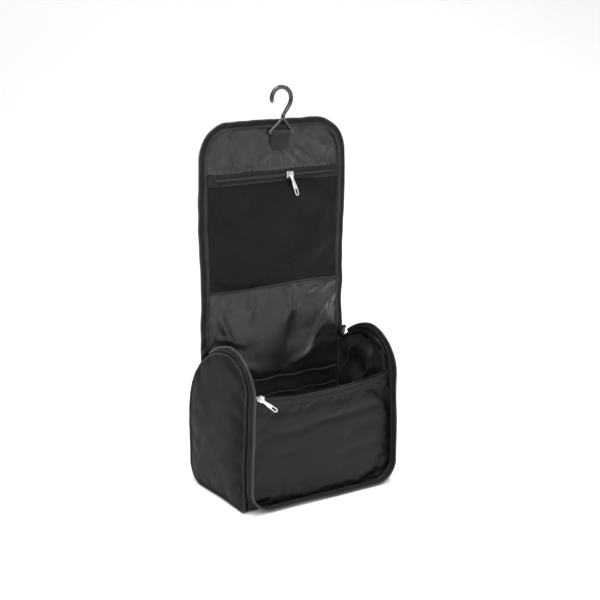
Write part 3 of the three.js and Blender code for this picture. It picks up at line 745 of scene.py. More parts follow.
def flap_width(z):
    """Half the width of the flap's panel at a height; its top corners are round."""
    rise = np.clip((z - CORNER_Z) / FLAP_CORNER_R, 0, 1)
    return FLAP_HALF - FLAP_CORNER_R * (1 - np.sqrt(1 - rise ** 2))


LINING_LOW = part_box("back_lining")[0].z
BACK_LINING_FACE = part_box("back_lining")[0].y + 0.1 * MM
STRAP_LOW, STRAP_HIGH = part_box("elastic_loop_strap")[0].z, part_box("elastic_loop_strap")[1].z

lining_z = flap_rows(LINING_LOW, [STRAP_LOW, STRAP_HIGH, NET_LOW, ZIP_Z, SEW_Z])
lining_half = flap_width(lining_z) + (BAND_HALF - FLAP_HALF) * smooth(lining_z, 178 * MM, 166 * MM)
lining_y = BACK_LINING_FACE + (FLAP_FACE - BACK_LINING_FACE) * smooth(lining_z, 163 * MM, 180 * MM)
cover_z = flap_rows(CUTS[0])
net_z = heights(NET_LOW, NET_HIGH, 5 * MM)


def row_at(rows, z):
    """The row nearest to a height."""
    return int(np.argmin(np.abs(rows - z)))


FLOOR_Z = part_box("bottom_lining")[1].z
FLOOR_FRONT, FLOOR_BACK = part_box("bottom_lining")[0].y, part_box("bottom_lining")[1].y
INNER_WALL_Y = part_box("front_inner_wall")[0].y
FRONT_LINING_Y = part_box("front_lining")[1].y
END_LINING_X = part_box("right_end_lining")[0].x


def uneven(grid, towards, amount, wavelength, seed):
    """A grid with a shallow uneven relief, held at its rim, so that its slack has somewhere to go."""
    rows, cols = grid.shape[:2]
    s, t = np.linspace(0, 1, cols)[None, :], np.linspace(0, 1, rows)[:, None]
    inside = np.clip(16 * s * (1 - s) * t * (1 - t), 0, 1)
    width = np.linalg.norm(grid[rows // 2, -1] - grid[rows // 2, 0])
    height = np.linalg.norm(grid[-1, cols // 2] - grid[0, cols // 2])
    relief = amount * inside * ripple(s * width, t * height, wavelength, seed)
    return grid + relief[..., None] * np.asarray(towards, float)


def sheet(grid, towards, pressure, slack, cap, relief=None, sewn_rows=(), **more):
    """A cloth as it is cut and pinned; its relief is a height, a wavelength and a seed."""
    if relief:
        grid = uneven(grid, towards, *relief)
    return {"grid": grid, "held": rim_mask(*grid.shape[:2], *sewn_rows), "towards": towards,
            "pressure": pressure, "slack": slack, "cap": cap, **more}


def body_sheets():
    """Every cloth of the bag's body."""
    made = {}
    for side, sign, out, inward in SIDES:
        shell = end_grid(sign * (HALF - 0.6 * MM), -2.8 * MM)
        made[f"{side}_end_shell"] = sheet(shell, out, 1.0, 0.004, 3.0 * MM if sign < 0 else 0.9 * MM,
                                          (0.5 * MM, 80 * MM, 11), stiff=2.0)
        made[f"{side}_end_lining_cloth"] = sheet(end_grid(sign * END_LINING_X, -4.0 * MM), inward, 0.5,
                                                 0.03, 4.5 * MM, (2.4 * MM, 42 * MM, 5))
    floor = stack(np.linspace(-BAND_HALF, BAND_HALF, 40)[None, :],
                  np.linspace(FLOOR_FRONT, FLOOR_BACK, 22)[:, None], FLOOR_Z)
    return {
        **made,
        "pocket_panel": sheet(pocket_grid(FRONT, 4 * MM, half=BAND_HALF + 0.6 * MM), FRONTWARD, 1.0,
                              0.012, 3.5 * MM, (0.8 * MM, 60 * MM, 8)),
        "pocket_inner_wall": sheet(pocket_grid(INNER_WALL_Y, 8.5 * MM), FRONTWARD, 0, 0.002, 0.5 * MM,
                                   (0.3 * MM, 60 * MM, 9)),
        "front_lining_cloth": sheet(pocket_grid(FRONT_LINING_Y, 8.5 * MM), BACKWARD, 0.3, 0.01,
                                    2.0 * MM, (0.8 * MM, 50 * MM, 10)),
        "back_shell": sheet(band_grid(back_path(), SHELL_HALF, SHELL_COLS), BACKWARD, 1.2, 0.004, 3.0 * MM,
                            (0.5 * MM, 90 * MM, 12), stiff=2.0),
        "bottom_shell": sheet(band_grid(bottom_path(), SHELL_HALF, SHELL_COLS), UP, 0.4, 0.003, 0.8 * MM,
                              stiff=2.0),
        "bottom_lining_cloth": sheet(floor, UP, 0.3, 0.012, 2.0 * MM, (0.8 * MM, 50 * MM, 13)),
    }


def flap_sheets():
    """The flap's lining, cover and net."""
    u = np.linspace(-1, 1, FLAP_COLS)[None, :]
    lining = stack(u * lining_half[:, None], lining_y[:, None], lining_z[:, None])
    cover = stack(u * flap_width(cover_z)[:, None], COVER_FACE, cover_z[:, None])
    net_sheet = stack(u * NET_HALF, FLAP_FACE - 0.7 * MM, net_z[:, None])
    sewn = [row_at(lining_z, z) for z in (STRAP_LOW, NET_LOW, ZIP_Z, SEW_Z)]
    return {
        "lining": sheet(lining, FRONTWARD, 0.5, 0.012, 3.0 * MM, (1.0 * MM, 55 * MM, 21), sewn),
        "cover": sheet(cover, BACKWARD, 1.2, 0.004, 3.0 * MM, (0.5 * MM, 80 * MM, 22), stiff=2.0),
        "net": sheet(net_sheet, FRONTWARD, 0.35, 0.012, 2.6 * MM, (0.8 * MM, 60 * MM, 23)),
    }


cut = {**body_sheets(), **flap_sheets()}
relaxed = simulate(cut)


# ---- Finished sheets ----

def ride_for(piece, body, *nodes):
    """Lets a piece ride on one body, and stand for CAD nodes if it has any."""
    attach(piece, body)
    if nodes:
        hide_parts(*nodes)


def add_sheet(name, towards, thick, material, *nodes, grid=None, padded=None):
    """A sheet or padded panel of the bag's body: its relaxed grid, unless another grid is given."""
    if grid is None:
        grid = settle(refine(relaxed[name]))
    piece = slab(name, grid, grid_normals(grid, towards), thick, material)
    ride_for(piece, "bag_body", *nodes)
    flat_sheet = cut.get(name, {"grid": grid, "slack": 0})
    declare(flat_sheet["grid"], flat_sheet["slack"], padded, "bag_body")


def declare(flat_grid, slack, padded, rests_on):
    """Works out the width, length and area of a sheet's flat grid grown by its slack, unless the piece is
    padded; they are not used.
    """
    if padded is not None:
        return
    flat_grid = (1 + slack) * flat_grid
    width = path_length(flat_grid[len(flat_grid) // 2])
    length = path_length(flat_grid[:, flat_grid.shape[1] // 2])
    across, along = flat_grid[:-1, 1:] - flat_grid[:-1, :-1], flat_grid[1:, :-1] - flat_grid[:-1, :-1]
    area = float(np.linalg.norm(np.cross(across, along), axis=-1).sum())


def creases(a, b, folds):
    """The sum of soft ridges, each given as start, end, width and height in millimetres."""
    total = 0
    for start, end, width, height in folds:
        total = total + crease(a, b, [c * MM for c in start], [c * MM for c in end], width * MM,
                               height * MM)
    return total


def inside(grid):
    """1 in the middle of a grid, falling to 0 at its rim."""
    rows, cols = grid.shape[:2]
    s, t = np.linspace(0, 1, cols)[None, :], np.linspace(0, 1, rows)[:, None]
    return np.clip(10 * s * (1 - s), 0, 1) * np.clip(10 * t * (1 - t), 0, 1)


POCKET_FOLDS = [
    ((-70, 108), (60, 112), 7, 1.6), ((-20, 88), (100, 99), 6, 1.5), ((-98, 84), (10, 76), 8, 1.5),
    ((-40, 60), (102, 68), 8, 1.8), ((-100, 46), (40, 40), 9, 1.6), ((-10, 22), (104, 28), 7, 1.8),
    ((-104, 22), (-30, 14), 6, 1.4), ((-100, 124), (-50, 104), 6, 1.2),
]
POCKET_SINK = 2.2 * MM              # the slack pocket sinks in, and its folds stand back up
POCKET_PROUD = 1.6 * MM             # and nothing stands further out than this
END_LINING_FOLDS = [
    ((-40, 150), (10, 110), 5, 4.0), ((-20, 176), (-30, 120), 5, 3.4), ((10, 168), (34, 120), 5, 3.8),
    ((-52, 120), (-10, 96), 6, 2.2), ((30, 100), (-20, 70), 6, 2.4), ((-30, 60), (30, 40), 7, 2.0),
]
PANEL_THICK = 1.0 * MM
LINING_THICK = 0.7 * MM
PADDED_THICK = 2.6 * MM

for side, _, out, inward in SIDES:
    add_sheet(f"{side}_end_shell", out, PADDED_THICK, NYLON, f"{side}_end_panel", f"{side}_end_foam",
              padded=0.5)
    end_lining = refine(relaxed[f"{side}_end_lining_cloth"])
    folds = creases(end_lining[..., 1], end_lining[..., 2], END_LINING_FOLDS) * inside(end_lining)
    end_lining[..., 0] += inward[0] * folds
    add_sheet(f"{side}_end_lining_cloth", inward, LINING_THICK, LINING, f"{side}_end_lining",
              grid=settle(end_lining))

pocket = refine(relaxed["pocket_panel"])
pocket_relief = creases(pocket[..., 0], pocket[..., 2], POCKET_FOLDS) * inside(pocket)
pocket_relief += 0.55 * MM * inside(pocket) * ripple(0.3 * pocket[..., 0], pocket[..., 2], 24 * MM, 45)
pocket[..., 1] += POCKET_SINK * inside(pocket) - 2.1 * pocket_relief
proud = POCKET_PROUD * np.tanh((FRONT - pocket[..., 1]) / POCKET_PROUD)
pocket[..., 1] = np.maximum(pocket[..., 1], FRONT - proud)
add_sheet("pocket_panel", FRONTWARD, PANEL_THICK, POCKET_NYLON, "front_pocket_panel",
          grid=settle(pocket))
add_sheet("pocket_inner_wall", FRONTWARD, 0.8 * MM, POCKET_NYLON, "front_inner_wall")
add_sheet("front_lining_cloth", BACKWARD, LINING_THICK, LINING, "front_lining")
add_sheet("bottom_shell", DOWN, PADDED_THICK, NYLON, "bottom_panel", "bottom_foam", padded=0.4)
add_sheet("bottom_lining_cloth", UP, LINING_THICK, LINING, "bottom_lining")


def bend(piece, band):
    """Bakes a piece's placement into its mesh; it is not tied to any of the flap's joints."""
    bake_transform(piece)


def add_bands(name, grid, rows, towards, thick, material, nodes, padded=None):
    """A long sheet cut at the middle of each stretch of the flap, into one piece for each band."""
    normals = grid_normals(grid, towards)
    cuts = [c for c in CUTS if rows[0] + 1e-6 < c < rows[-1] - 1e-6]
    stops = [0, *[2 * row_at(rows, c) for c in cuts], len(grid) - 1]
    first = sum(c <= rows[0] + 1e-6 for c in CUTS)
    for i, (low, high) in enumerate(zip(stops, stops[1:])):
        band = first + i
        part = grid[low:high + 1]
        piece = slab(f"{name}_{BAND_NAMES[band]}", part, normals[low:high + 1], thick, material)
        flat_part = cut[name]["grid"][low // 2:high // 2 + 1]
        declare(flat_part, cut[name]["slack"], padded, BENDS[band]["child"])
        bend(piece, band)
        if nodes.get(band):
            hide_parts(*nodes[band])


LINING_FOLDS = [
    ((14, 428), (40, 404), 3.0, 1.6), ((20, 432), (62, 408), 3.6, 1.5), ((6, 426), (14, 404), 2.6, 1.2),
    ((-2, 428), (-30, 406), 4.0, 1.0), ((40, 448), (88, 420), 5.0, 1.3), ((-60, 446), (-84, 412), 6, 1.3),
    ((-92, 236), (-66, 184), 6, 2.2), ((98, 240), (60, 176), 5, 2.4), ((88, 222), (44, 150), 4, 1.6),
    ((-30, 244), (-44, 200), 7, 1.0), ((30, 246), (16, 196), 6, 1.2), ((-90, 226), (-30, 216), 5, 1.0),
    ((94, 250), (40, 226), 4, 1.2), ((-96, 196), (-40, 176), 5, 1.4), ((70, 168), (20, 140), 5, 1.6),
    ((-80, 160), (-20, 140), 6, 1.2), ((60, 96), (0, 60), 6, 1.2),
]
PUCKER_PITCH, PUCKER_HEIGHT, PUCKER_SPAN = 6.4 * MM, 2.4 * MM, 5 * MM
NET_GAP = 0.5 * MM

loop_low, loop_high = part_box("hook_webbing_loop")
LOOP_X, LOOP_Z = (loop_low.x + loop_high.x) / 2, (loop_low.z + loop_high.z) / 2
lining = refine(relaxed["lining"])
x, z = lining[..., 0], lining[..., 2]
relief = 1.7 * creases(x, z, LINING_FOLDS) * inside(lining) * (1 - hump(z, STRAP_LOW, 4 * MM))
puckers = PUCKER_HEIGHT * hump(z, SEW_Z + PUCKER_SPAN, PUCKER_SPAN) * (
    0.5 + 0.5 * np.sin(2 * math.pi * x / PUCKER_PITCH + 2 * wavy(x, 40 * MM, 31)))
lining[..., 1] -= relief + puckers * inside(lining)
near_loop = hump(x, LOOP_X, 19 * MM) * hump(z, LOOP_Z, 17 * MM)
behind_loop = np.clip(3 * near_loop - 1, 0, 1)
behind_net = smooth(z, NET_LOW - 6 * MM, NET_LOW) * smooth(z, SEW_Z, ZIP_Z - 6 * MM)
behind_strap = smooth(z, STRAP_LOW - 8 * MM, STRAP_LOW) * smooth(z, STRAP_HIGH + 8 * MM, STRAP_HIGH)
for share, face in ((behind_loop, FLAP_FACE), (behind_net, FLAP_FACE), (behind_strap, BACK_LINING_FACE)):
    lining[..., 1] += share * np.maximum(0, face - lining[..., 1])
add_bands("lining", settle_flap(settle(lining)), lining_z, FRONTWARD, LINING_THICK, LINING, {
    0: ["back_lining"], 1: ["flap_rear_lining"], 2: ["flap_crest_lining"],
    3: ["flap_brow_lining"], 4: ["flap_face_lining"]})

cover = refine(relaxed["cover"])
add_bands("cover", settle_flap(cover), cover_z, BACKWARD, PADDED_THICK, NYLON, {
    1: ["flap_rear_cover", "flap_rear_foam"], 2: ["flap_crest_cover", "flap_crest_foam"],
    3: ["flap_brow_cover", "flap_brow_foam"], 4: ["flap_face_cover", "flap_face_foam"]}, padded=0.5)

back_shell = settle(refine(relaxed["back_shell"]))
back_piece = slab("back_shell", back_shell, grid_normals(back_shell, BACKWARD), PADDED_THICK, NYLON)
bend(back_piece, BASE_BAND)
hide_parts("back_panel", "back_foam", "flap_hinge_band")

NET_FOLDS = [
    ((-90, 372), (-50, 300), 9, 1.0), ((40, 380), (92, 330), 8, 1.2), ((-20, 270), (80, 300), 9, 0.8),
    ((-94, 268), (-30, 258), 6, 0.8), ((88, 370), (96, 280), 6, 1.0), ((-96, 360), (-88, 270), 6, 1.0),
]
net_grid = refine(relaxed["net"])
net_grid[..., 1] -= creases(net_grid[..., 0], net_grid[..., 2], NET_FOLDS) * inside(net_grid)
net_grid[..., 1] = np.minimum(net_grid[..., 1], FLAP_FACE - NET_GAP)
add_bands("net", settle_flap(net_grid), net_z, FRONTWARD, 0.4 * MM, NET, {
    3: ["flap_crest_mesh", "flap_brow_mesh"], 4: ["flap_face_mesh"]})


# ---- Piping round both ends ----

def add_tube(name, at, u, v, section, material, *nodes, body="bag_body", closed=False):
    """A cord, tape or binding along stations."""
    ride_for(tube(name, at, u, v, section, material, closed=closed), body, *nodes)


def add_teeth(name, size, path, material, *nodes, body="bag_body"):
    """A zip's teeth along a path; their size is their width and thickness."""
    ride_for(row_of(name, tooth_template(*size), path, TOOTH_PITCH, material), body, *nodes)


def add_stitches(name, path, body="bag_body", length=2.0 * MM, pitch=STITCH_PITCH):
    """A row of stitches along a path, on the face that its out direction leaves."""
    ride_for(row_of(name, stitch_template(length), path, pitch, THREAD), body)


PIPING_X = 107.8 * MM
PIPING_INSET = 1.7 * MM
PIPING_R = 1.6 * MM
PIPING_COUNT = 260
PIPING_TO_STITCHES = 2.9 * MM
STITCH_PROUD = 0.15 * MM

for side, sign, outward, _ in SIDES:
    run = np.linspace(0, ARCH_LENGTH, PIPING_COUNT, endpoint=False)
    point, out = on_arch(run, -PIPING_INSET, sign * PIPING_X)
    section = scaled(circle(PIPING_R, 12), 1 + 0.07 * wavy(run, 16 * MM, 40))
    add_tube(f"{side}_piping_cord", settle(point), out, RIGHT, section, WELT, f"{side}_piping",
             closed=True)
    seam, _ = on_arch(run, -PIPING_INSET - PIPING_TO_STITCHES, sign * (HALF + STITCH_PROUD))
    add_stitches(f"{side}_end_stitches", stations(settle(seam), outward, out))


# ---- The standing zip round the bag's mouth ----

FLANGE_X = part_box("body_zip_flange")[1].x - 0.7 * MM
FLANGE_CORNER_R = 26 * MM
FLANGE_LOW = 3 * MM
FLANGE_ROOT = 0.4 * MM
FLANGE_REACH = (0.4 * MM, 6.4 * MM, 10.4 * MM)
MAIN_TOOTH = (2.3 * MM, 2.5 * MM)
LEFT_LEAN = 0.15
SEAM_DEPTH = 4.4 * MM               # how far the tape goes in between the panels
WELT_RISE = 1.4 * MM
CORD_RISE, CORD_R = 0.7 * MM, 0.8 * MM
STITCH_SHARE, STITCH_LIFT = 0.62, 0.65 * MM


def flange_half(sign):
    """Half of the standing zip's route: columns are point, out, across and how far it reaches."""
    hinge, top, front = FLANGE_REACH
    parts = []
    for corner, start, end, low, high in ((BACK_SHOULDER, 60, 90, hinge, top),
                                          (FRONT_SHOULDER, 90, 180, top, front)):
        run = np.linspace(arch_mark(corner, start), arch_mark(corner, end), 30)
        point, out = on_arch(run, FLANGE_ROOT, sign * FLANGE_X)
        parts.append(np.column_stack([stations(point, out, (-sign, 0, 0)), np.linspace(low, high, 30)]))
    spoke = arc((0, 0), 1, 0, 90, 20) @ [(sign, 0, 0), DOWN]
    centre = np.array([sign * (FLANGE_X - FLANGE_CORNER_R), FRONT - FLANGE_ROOT,
                       FLANGE_LOW + FLANGE_CORNER_R])
    corner = stations(centre + spoke * FLANGE_CORNER_R, FRONTWARD, -spoke)
    parts.append(np.column_stack([corner, np.full(20, front)]))
    return np.concatenate(parts)


FLANGE_COUNT = 420
route = resample(np.concatenate([flange_half(-1), flange_half(1)[::-1]]), FLANGE_COUNT)
flange_at = settle(route[:, :3])
flange_across = unit(route[:, 6:9])
lean = LEFT_LEAN * hump(route[:, 2], 85 * MM, 55 * MM) * (route[:, 0] < 0)
wobble = 0.05 * wavy(np.arange(FLANGE_COUNT) * 1.0, 60, 41)
flange_out = unit(unit(route[:, 3:6]) + flange_across * (lean + wobble)[:, None])
reach = route[:, 9]

tape_section = np.stack([oval((r + SEAM_DEPTH) / 2, 0.6 * MM, sides=14, power=5,
                              centre=((r - SEAM_DEPTH) / 2, 0)) for r in reach])
flange_axes = (flange_out, flange_across)
add_tube("body_zip_tape", flange_at, *flange_axes, tape_section, TAPE, "body_zip_flange")
welt_r = np.minimum(1.9 * MM, 0.7 * MM + reach / 4)
add_tube("body_zip_welt", flange_at + flange_out * WELT_RISE, *flange_axes, scaled(circle(1, 12), welt_r),
         WELT)
teeth_path = stations(flange_at + flange_out * reach[:, None], *flange_axes)
add_teeth("body_teeth", MAIN_TOOTH, teeth_path, TEETH, "body_zip_teeth")
cord_at = flange_at + flange_out * (reach + CORD_RISE)[:, None]
add_tube("body_teeth_cord", cord_at, *flange_axes, circle(CORD_R, 8), TAPE)
for name, face in (("outer", -1), ("inner", 1)):
    line = flange_at + flange_out * (reach * STITCH_SHARE)[:, None] + flange_across * face * STITCH_LIFT
    add_stitches(f"body_zip_stitches_{name}", stations(line, flange_across * face, flange_out))


# ---- The front pocket's zip ----

ZIP_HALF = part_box("front_zip_outer_half")[1].x
OUTER_HALF_Y = FRONT + 0.7 * MM
INNER_HALF_Y = (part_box("front_zip_inner_half")[0].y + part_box("front_zip_inner_half")[1].y) / 2
ZIP_STATIONS = 90
LIP_Y = FRONT - 0.55 * MM
POCKET_TOOTH = (2.1 * MM, 2.0 * MM)
POCKET_TAPE = oval(2.6 * MM, 0.35 * MM, power=5, centre=(-2.3 * MM, 0))
POCKET_LIP = oval(3.4 * MM, 0.28 * MM, power=4, centre=(-2.6 * MM, 0))


def pocket_zip_path(y, drop):
    """Columns are point, up and back, along the pocket's curved zip."""
    x = np.linspace(-ZIP_HALF, ZIP_HALF, ZIP_STATIONS)
    up = unit(stack(-x, 0, ZIP_CENTRE - zip_line(x)))
    point = settle(stack(x, y, zip_line(x)) - up * drop)
    point[:, 1] += 0.5 * MM * wavy(x, 70 * MM, 44)
    return stations(point, up, BACKWARD)


for name, y, node in (("outer", OUTER_HALF_Y, "front_zip_outer_half"),
                      ("inner", INNER_HALF_Y, "front_zip_inner_half")):
    path = pocket_zip_path(y, 0)
    add_tube(f"pocket_zip_tape_{name}", *parts_of(path), POCKET_TAPE, TAPE, node)
    add_tube(f"pocket_zip_cord_{name}", *parts_of(path), oval(0.7 * MM, 0.8 * MM, sides=10), COIL)
    add_teeth(f"pocket_teeth_{name}", POCKET_TOOTH, path, COIL)
add_tube("pocket_zip_lip", *parts_of(pocket_zip_path(LIP_Y, 0)), POCKET_LIP, POCKET_NYLON)
hem_at, hem_up, _ = parts_of(pocket_zip_path(LIP_Y - 0.3 * MM, 4.4 * MM))
add_stitches("pocket_hem_stitches", stations(hem_at, FRONTWARD, hem_up), length=2.2 * MM)


# ---- Inside: bound seams and the elastic strap ----

for side, sign, _, _ in SIDES:
    low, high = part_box(f"{side}_seam_binding")
    middle = (low + high) / 2
    levels = np.linspace(low.z, high.z, 70)
    at = settle(stack(middle.x + 0.8 * MM * wavy(levels, 60 * MM, 50), middle.y, levels))
    section = scaled(oval(3.1 * MM, 1.25 * MM), 1 + 0.12 * wavy(levels, 22 * MM, 51))
    add_tube(f"{side}_seam_roll", at, RIGHT, BACKWARD, section, WEBBING, f"{side}_seam_binding")
    line = at - [sign * 1.6 * MM, 1.3 * MM, 0]
    add_stitches(f"{side}_seam_stitches", stations(line, FRONTWARD, RIGHT), length=2.2 * MM)

strap_low, strap_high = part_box("elastic_loop_strap")
LOOPS = 4
LOOP_PITCH = (strap_high.x - strap_low.x) / LOOPS
STRAP_LIFTS = [4.4 * MM, 2.0 * MM, 2.9 * MM, 2.2 * MM, 2.2 * MM]
RUCHE_PITCH, RUCHE, STRAP_TUG = 3.4 * MM, 0.35 * MM, 0.6 * MM
TACK_INSET, TACK_PITCH = 1.2 * MM, 2.6 * MM


def strap_y(x, ruche):
    """The front of the elastic strap at x: four shallow loops between its stitches, gathered."""
    turns = (x - strap_low.x) / LOOP_PITCH
    gathers = ruche * (0.5 + 0.5 * np.sin(2 * math.pi * x / RUCHE_PITCH))
    lift = np.interp(np.floor(turns), range(len(STRAP_LIFTS)), STRAP_LIFTS)
    return strap_high.y - 1.2 * MM - lift * np.sin(math.pi * turns) ** 2 - gathers


def strap_tug(x):
    """How far the strap is pulled up or down at x by its stitches."""
    return STRAP_TUG * np.cos(2 * math.pi * (x - strap_low.x) / LOOP_PITCH)


strap_x = np.linspace(strap_low.x, strap_high.x, 230)[None, :]
strap_z = np.linspace(strap_low.z, strap_high.z, 11)[:, None]
strap_grid = stack(strap_x, strap_y(strap_x, RUCHE) - 0.3 * MM * np.cos(strap_z / (3 * MM)),
                   strap_z + strap_tug(strap_x))
add_sheet("elastic_strap", FRONTWARD, 1.0 * MM, ELASTIC, "elastic_loop_strap", grid=strap_grid)
hem_x = np.linspace(strap_low.x, strap_high.x, 160)
for name, level in (("top", strap_high.z), ("bottom", strap_low.z)):
    hem_at = stack(hem_x, strap_y(hem_x, RUCHE) + 0.3 * MM, level + strap_tug(hem_x))
    add_tube(f"elastic_hem_{name}", hem_at, BACKWARD, UP, circle(0.9 * MM, 8), THREAD)
for number in range(LOOPS + 1):
    at_x = np.clip(strap_low.x + number * LOOP_PITCH, strap_low.x + TACK_INSET, strap_high.x - TACK_INSET)
    ends = stack(at_x, strap_y(at_x, 0) - 0.25 * MM, np.array([strap_low.z, strap_high.z]))
    add_stitches(f"elastic_tack_{number + 1}", stations(ends, FRONTWARD, RIGHT), pitch=TACK_PITCH)


# ---- The flap's bound edge and its half of the main zip ----

RIM_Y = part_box("flap_face_zip_tape")[0].y + 1.3 * MM
TAPE_R = 38 * MM


def rim_side(sign, low, high):
    """One side of the flap's edge between two heights: columns are point, out and across."""
    z = np.linspace(low, high, max(4, round((high - low) / (2.5 * MM))))
    return stations(settle_flap(stack(sign * TAPE_INNER, RIM_Y, z)), (sign, 0, 0), BACKWARD)


def rim_round(low):
    """The flap's edge from a height at the left, round the top and down to that height at the right."""
    parts = [rim_side(-1, low, CORNER_Z)]
    for sign, start, end in ((-1, 180, 90), (1, 90, 0)):
        out = arc((0, 0), 1, start, end, 22) @ [RIGHT, UP]
        point = settle_flap(np.array([sign * CORNER_X, RIM_Y, CORNER_Z]) + out * TAPE_R)
        parts.append(stations(point, out, BACKWARD))
    parts.append(rim_side(1, low, CORNER_Z)[::-1])
    return np.concatenate(parts)


BINDING = oval(2.8 * MM, 3.1 * MM, sides=18, power=3.2, centre=(-1.3 * MM, 0.6 * MM))
RIM_TAPE = oval(3.0 * MM, 0.65 * MM, sides=14, power=5, centre=(3.9 * MM, 0))
RIM_CORD = oval(0.9 * MM, 0.9 * MM, sides=8, power=2, centre=(7.3 * MM, 0))
RIM_TEETH_OUT = 6.6 * MM
RIM_LOW = 176.5 * MM


def add_rim(name, path, band, nodes):
    """Binding, zip tape, teeth and two stitch lines along one stretch of the flap's edge."""
    count = max(6, round(path_length(path[:, :3]) / (2.2 * MM)))
    at, out, across = parts_of(resample(path, count))
    at = at + out * (0.35 * MM * ripple(at[:, 0], at[:, 2], 24 * MM, 61))[:, None]
    swell = 1 + 0.05 * ripple(at[:, 0] + at[:, 2], at[:, 0], 14 * MM, 60)
    pieces = [
        tube(f"{name}_binding", at, out, across, scaled(BINDING, swell), WEBBING),
        tube(f"{name}_tape", at, out, across, RIM_TAPE, TAPE),
        tube(f"{name}_cord", at, out, across, RIM_CORD, TAPE),
        row_of(f"{name}_teeth", tooth_template(*MAIN_TOOTH),
               stations(at + out * RIM_TEETH_OUT, out, across), TOOTH_PITCH, TEETH),
    ]
    for label, depth, face in (("front", -2.55 * MM, -1), ("back", 3.8 * MM, 1)):
        line = stations(at - out * 1.5 * MM + across * depth, across * face, out)
        pieces.append(row_of(f"{name}_stitches_{label}", stitch_template(2.0 * MM), line,
                             STITCH_PITCH, THREAD))
    for piece in pieces:
        bend(piece, band)
    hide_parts(*nodes)


for band, (low, high) in enumerate(((RIM_LOW, CUTS[1]), (CUTS[1], CUTS[2]), (CUTS[2], CUTS[3])), 1):
    stretch = BAND_NAMES[band]
    for side, sign, _, _ in SIDES:
        add_rim(f"rim_{stretch}_{side}", rim_side(sign, low, high), band,
                [f"flap_{stretch}_zip_tape_{side}"])
add_rim("rim_face", rim_round(CUTS[3]), 4, ["flap_face_zip_tape"])


# ---- The flap's pocket zip ----

flap_tape_low, flap_tape_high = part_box("flap_zip_tape")
FLAP_COIL = (1.2 * MM, 3.2 * MM)
TAPE_FACE = FLAP_FACE - 2.0 * MM
HEM_R = 1.0 * MM

zip_x = np.linspace(flap_tape_low.x, flap_tape_high.x, 70)
zip_at = stack(zip_x, (TAPE_FACE + FLAP_FACE - 1.2 * MM) / 2, ZIP_Z + 0 * zip_x)
zip_half = (flap_tape_high.z - flap_tape_low.z) / 2
add_tube("flap_pocket_tape", zip_at, UP, FRONTWARD, oval(zip_half, 0.45 * MM, power=6), TAPE,
         "flap_zip_tape", body="flap_face")
coil_path = stations(zip_at + [0, -0.4 * MM, 0], FRONTWARD, UP)
add_teeth("flap_pocket_coil", FLAP_COIL, coil_path, COIL, body="flap_face")
for name, rise in (("upper", 5.0 * MM), ("lower", -5.0 * MM)):
    line = stations(zip_at + [0, -0.45 * MM, rise], FRONTWARD, UP)
    add_stitches(f"flap_zip_stitches_{name}", line, "flap_face")

for side, sign, _, _ in SIDES:
    low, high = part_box(f"flap_zip_tab_{side}")
    tab_x = np.linspace(low.x, high.x, 12)[None, :]
    tab_z = np.linspace(low.z, high.z, 16)[:, None]
    pinch = 0.5 * MM * ripple(tab_x, tab_z, 9 * MM, 70 + sign)
    tab_grid = stack(tab_x, low.y + 0.3 * MM + pinch * 0.5, tab_z + 0.06 * (tab_x - low.x) * sign)
    tab = slab(f"flap_zip_end_{side}", tab_grid, grid_normals(tab_grid, FRONTWARD), 1.1 * MM, WELT)
    ride_for(tab, "flap_face", f"flap_zip_tab_{side}")

hem_x = np.linspace(-NET_HALF, NET_HALF, 90)
hem_at = settle_flap(stack(hem_x, FLAP_FACE - 1.1 * MM, NET_LOW + 0.8 * MM * np.sin(hem_x / (30 * MM))))
add_tube("net_hem", hem_at, BACKWARD, UP, oval(HEM_R, 1.7 * HEM_R, power=2.4), WEBBING, body="flap_crest")
sew_x = np.linspace(-FLAP_HALF + 6 * MM, FLAP_HALF - 6 * MM, 60)
sew_at = settle_flap(stack(sew_x, FLAP_FACE - 0.15 * MM, SEW_Z + 2 * MM))
add_stitches("lining_seam_stitches", stations(sew_at, FRONTWARD, UP), "flap_face", length=2.2 * MM)


# ---- The folded ends of the main zip's tape, beside the hinge ----

END_LOW, END_HIGH = HINGE_Z - 9 * MM, CUTS[0] + 9 * MM
END_X, END_Y = 105.2 * MM, COVER_FACE - 3.9 * MM
END_SECTION = oval(1 * MM, 0.5 * MM, sides=18, power=2.4)

for side, sign, _, _ in SIDES:
    levels = np.linspace(END_LOW, END_HIGH, 34)
    rise = smooth(levels, END_LOW, RIM_LOW + 2 * MM)
    fold = 0.7 * MM * wavy(levels, 9 * MM, 80 + sign)
    lean_in = 5 * MM * smooth(levels, HINGE_Z, END_HIGH)
    at = stack(sign * (END_X - 1.6 * MM * rise) + fold, END_Y - 0.5 * fold - lean_in, levels)
    width = (3.4 + 2.6 * rise) * (1 - 0.3 * smooth(levels, RIM_LOW + 4 * MM, END_HIGH))
    add_tube(f"{side}_tape_end", at, RIGHT, BACKWARD, scaled(END_SECTION, width), WELT,
             body="flap_hinge")


# ---- Sliders and their pulls ----

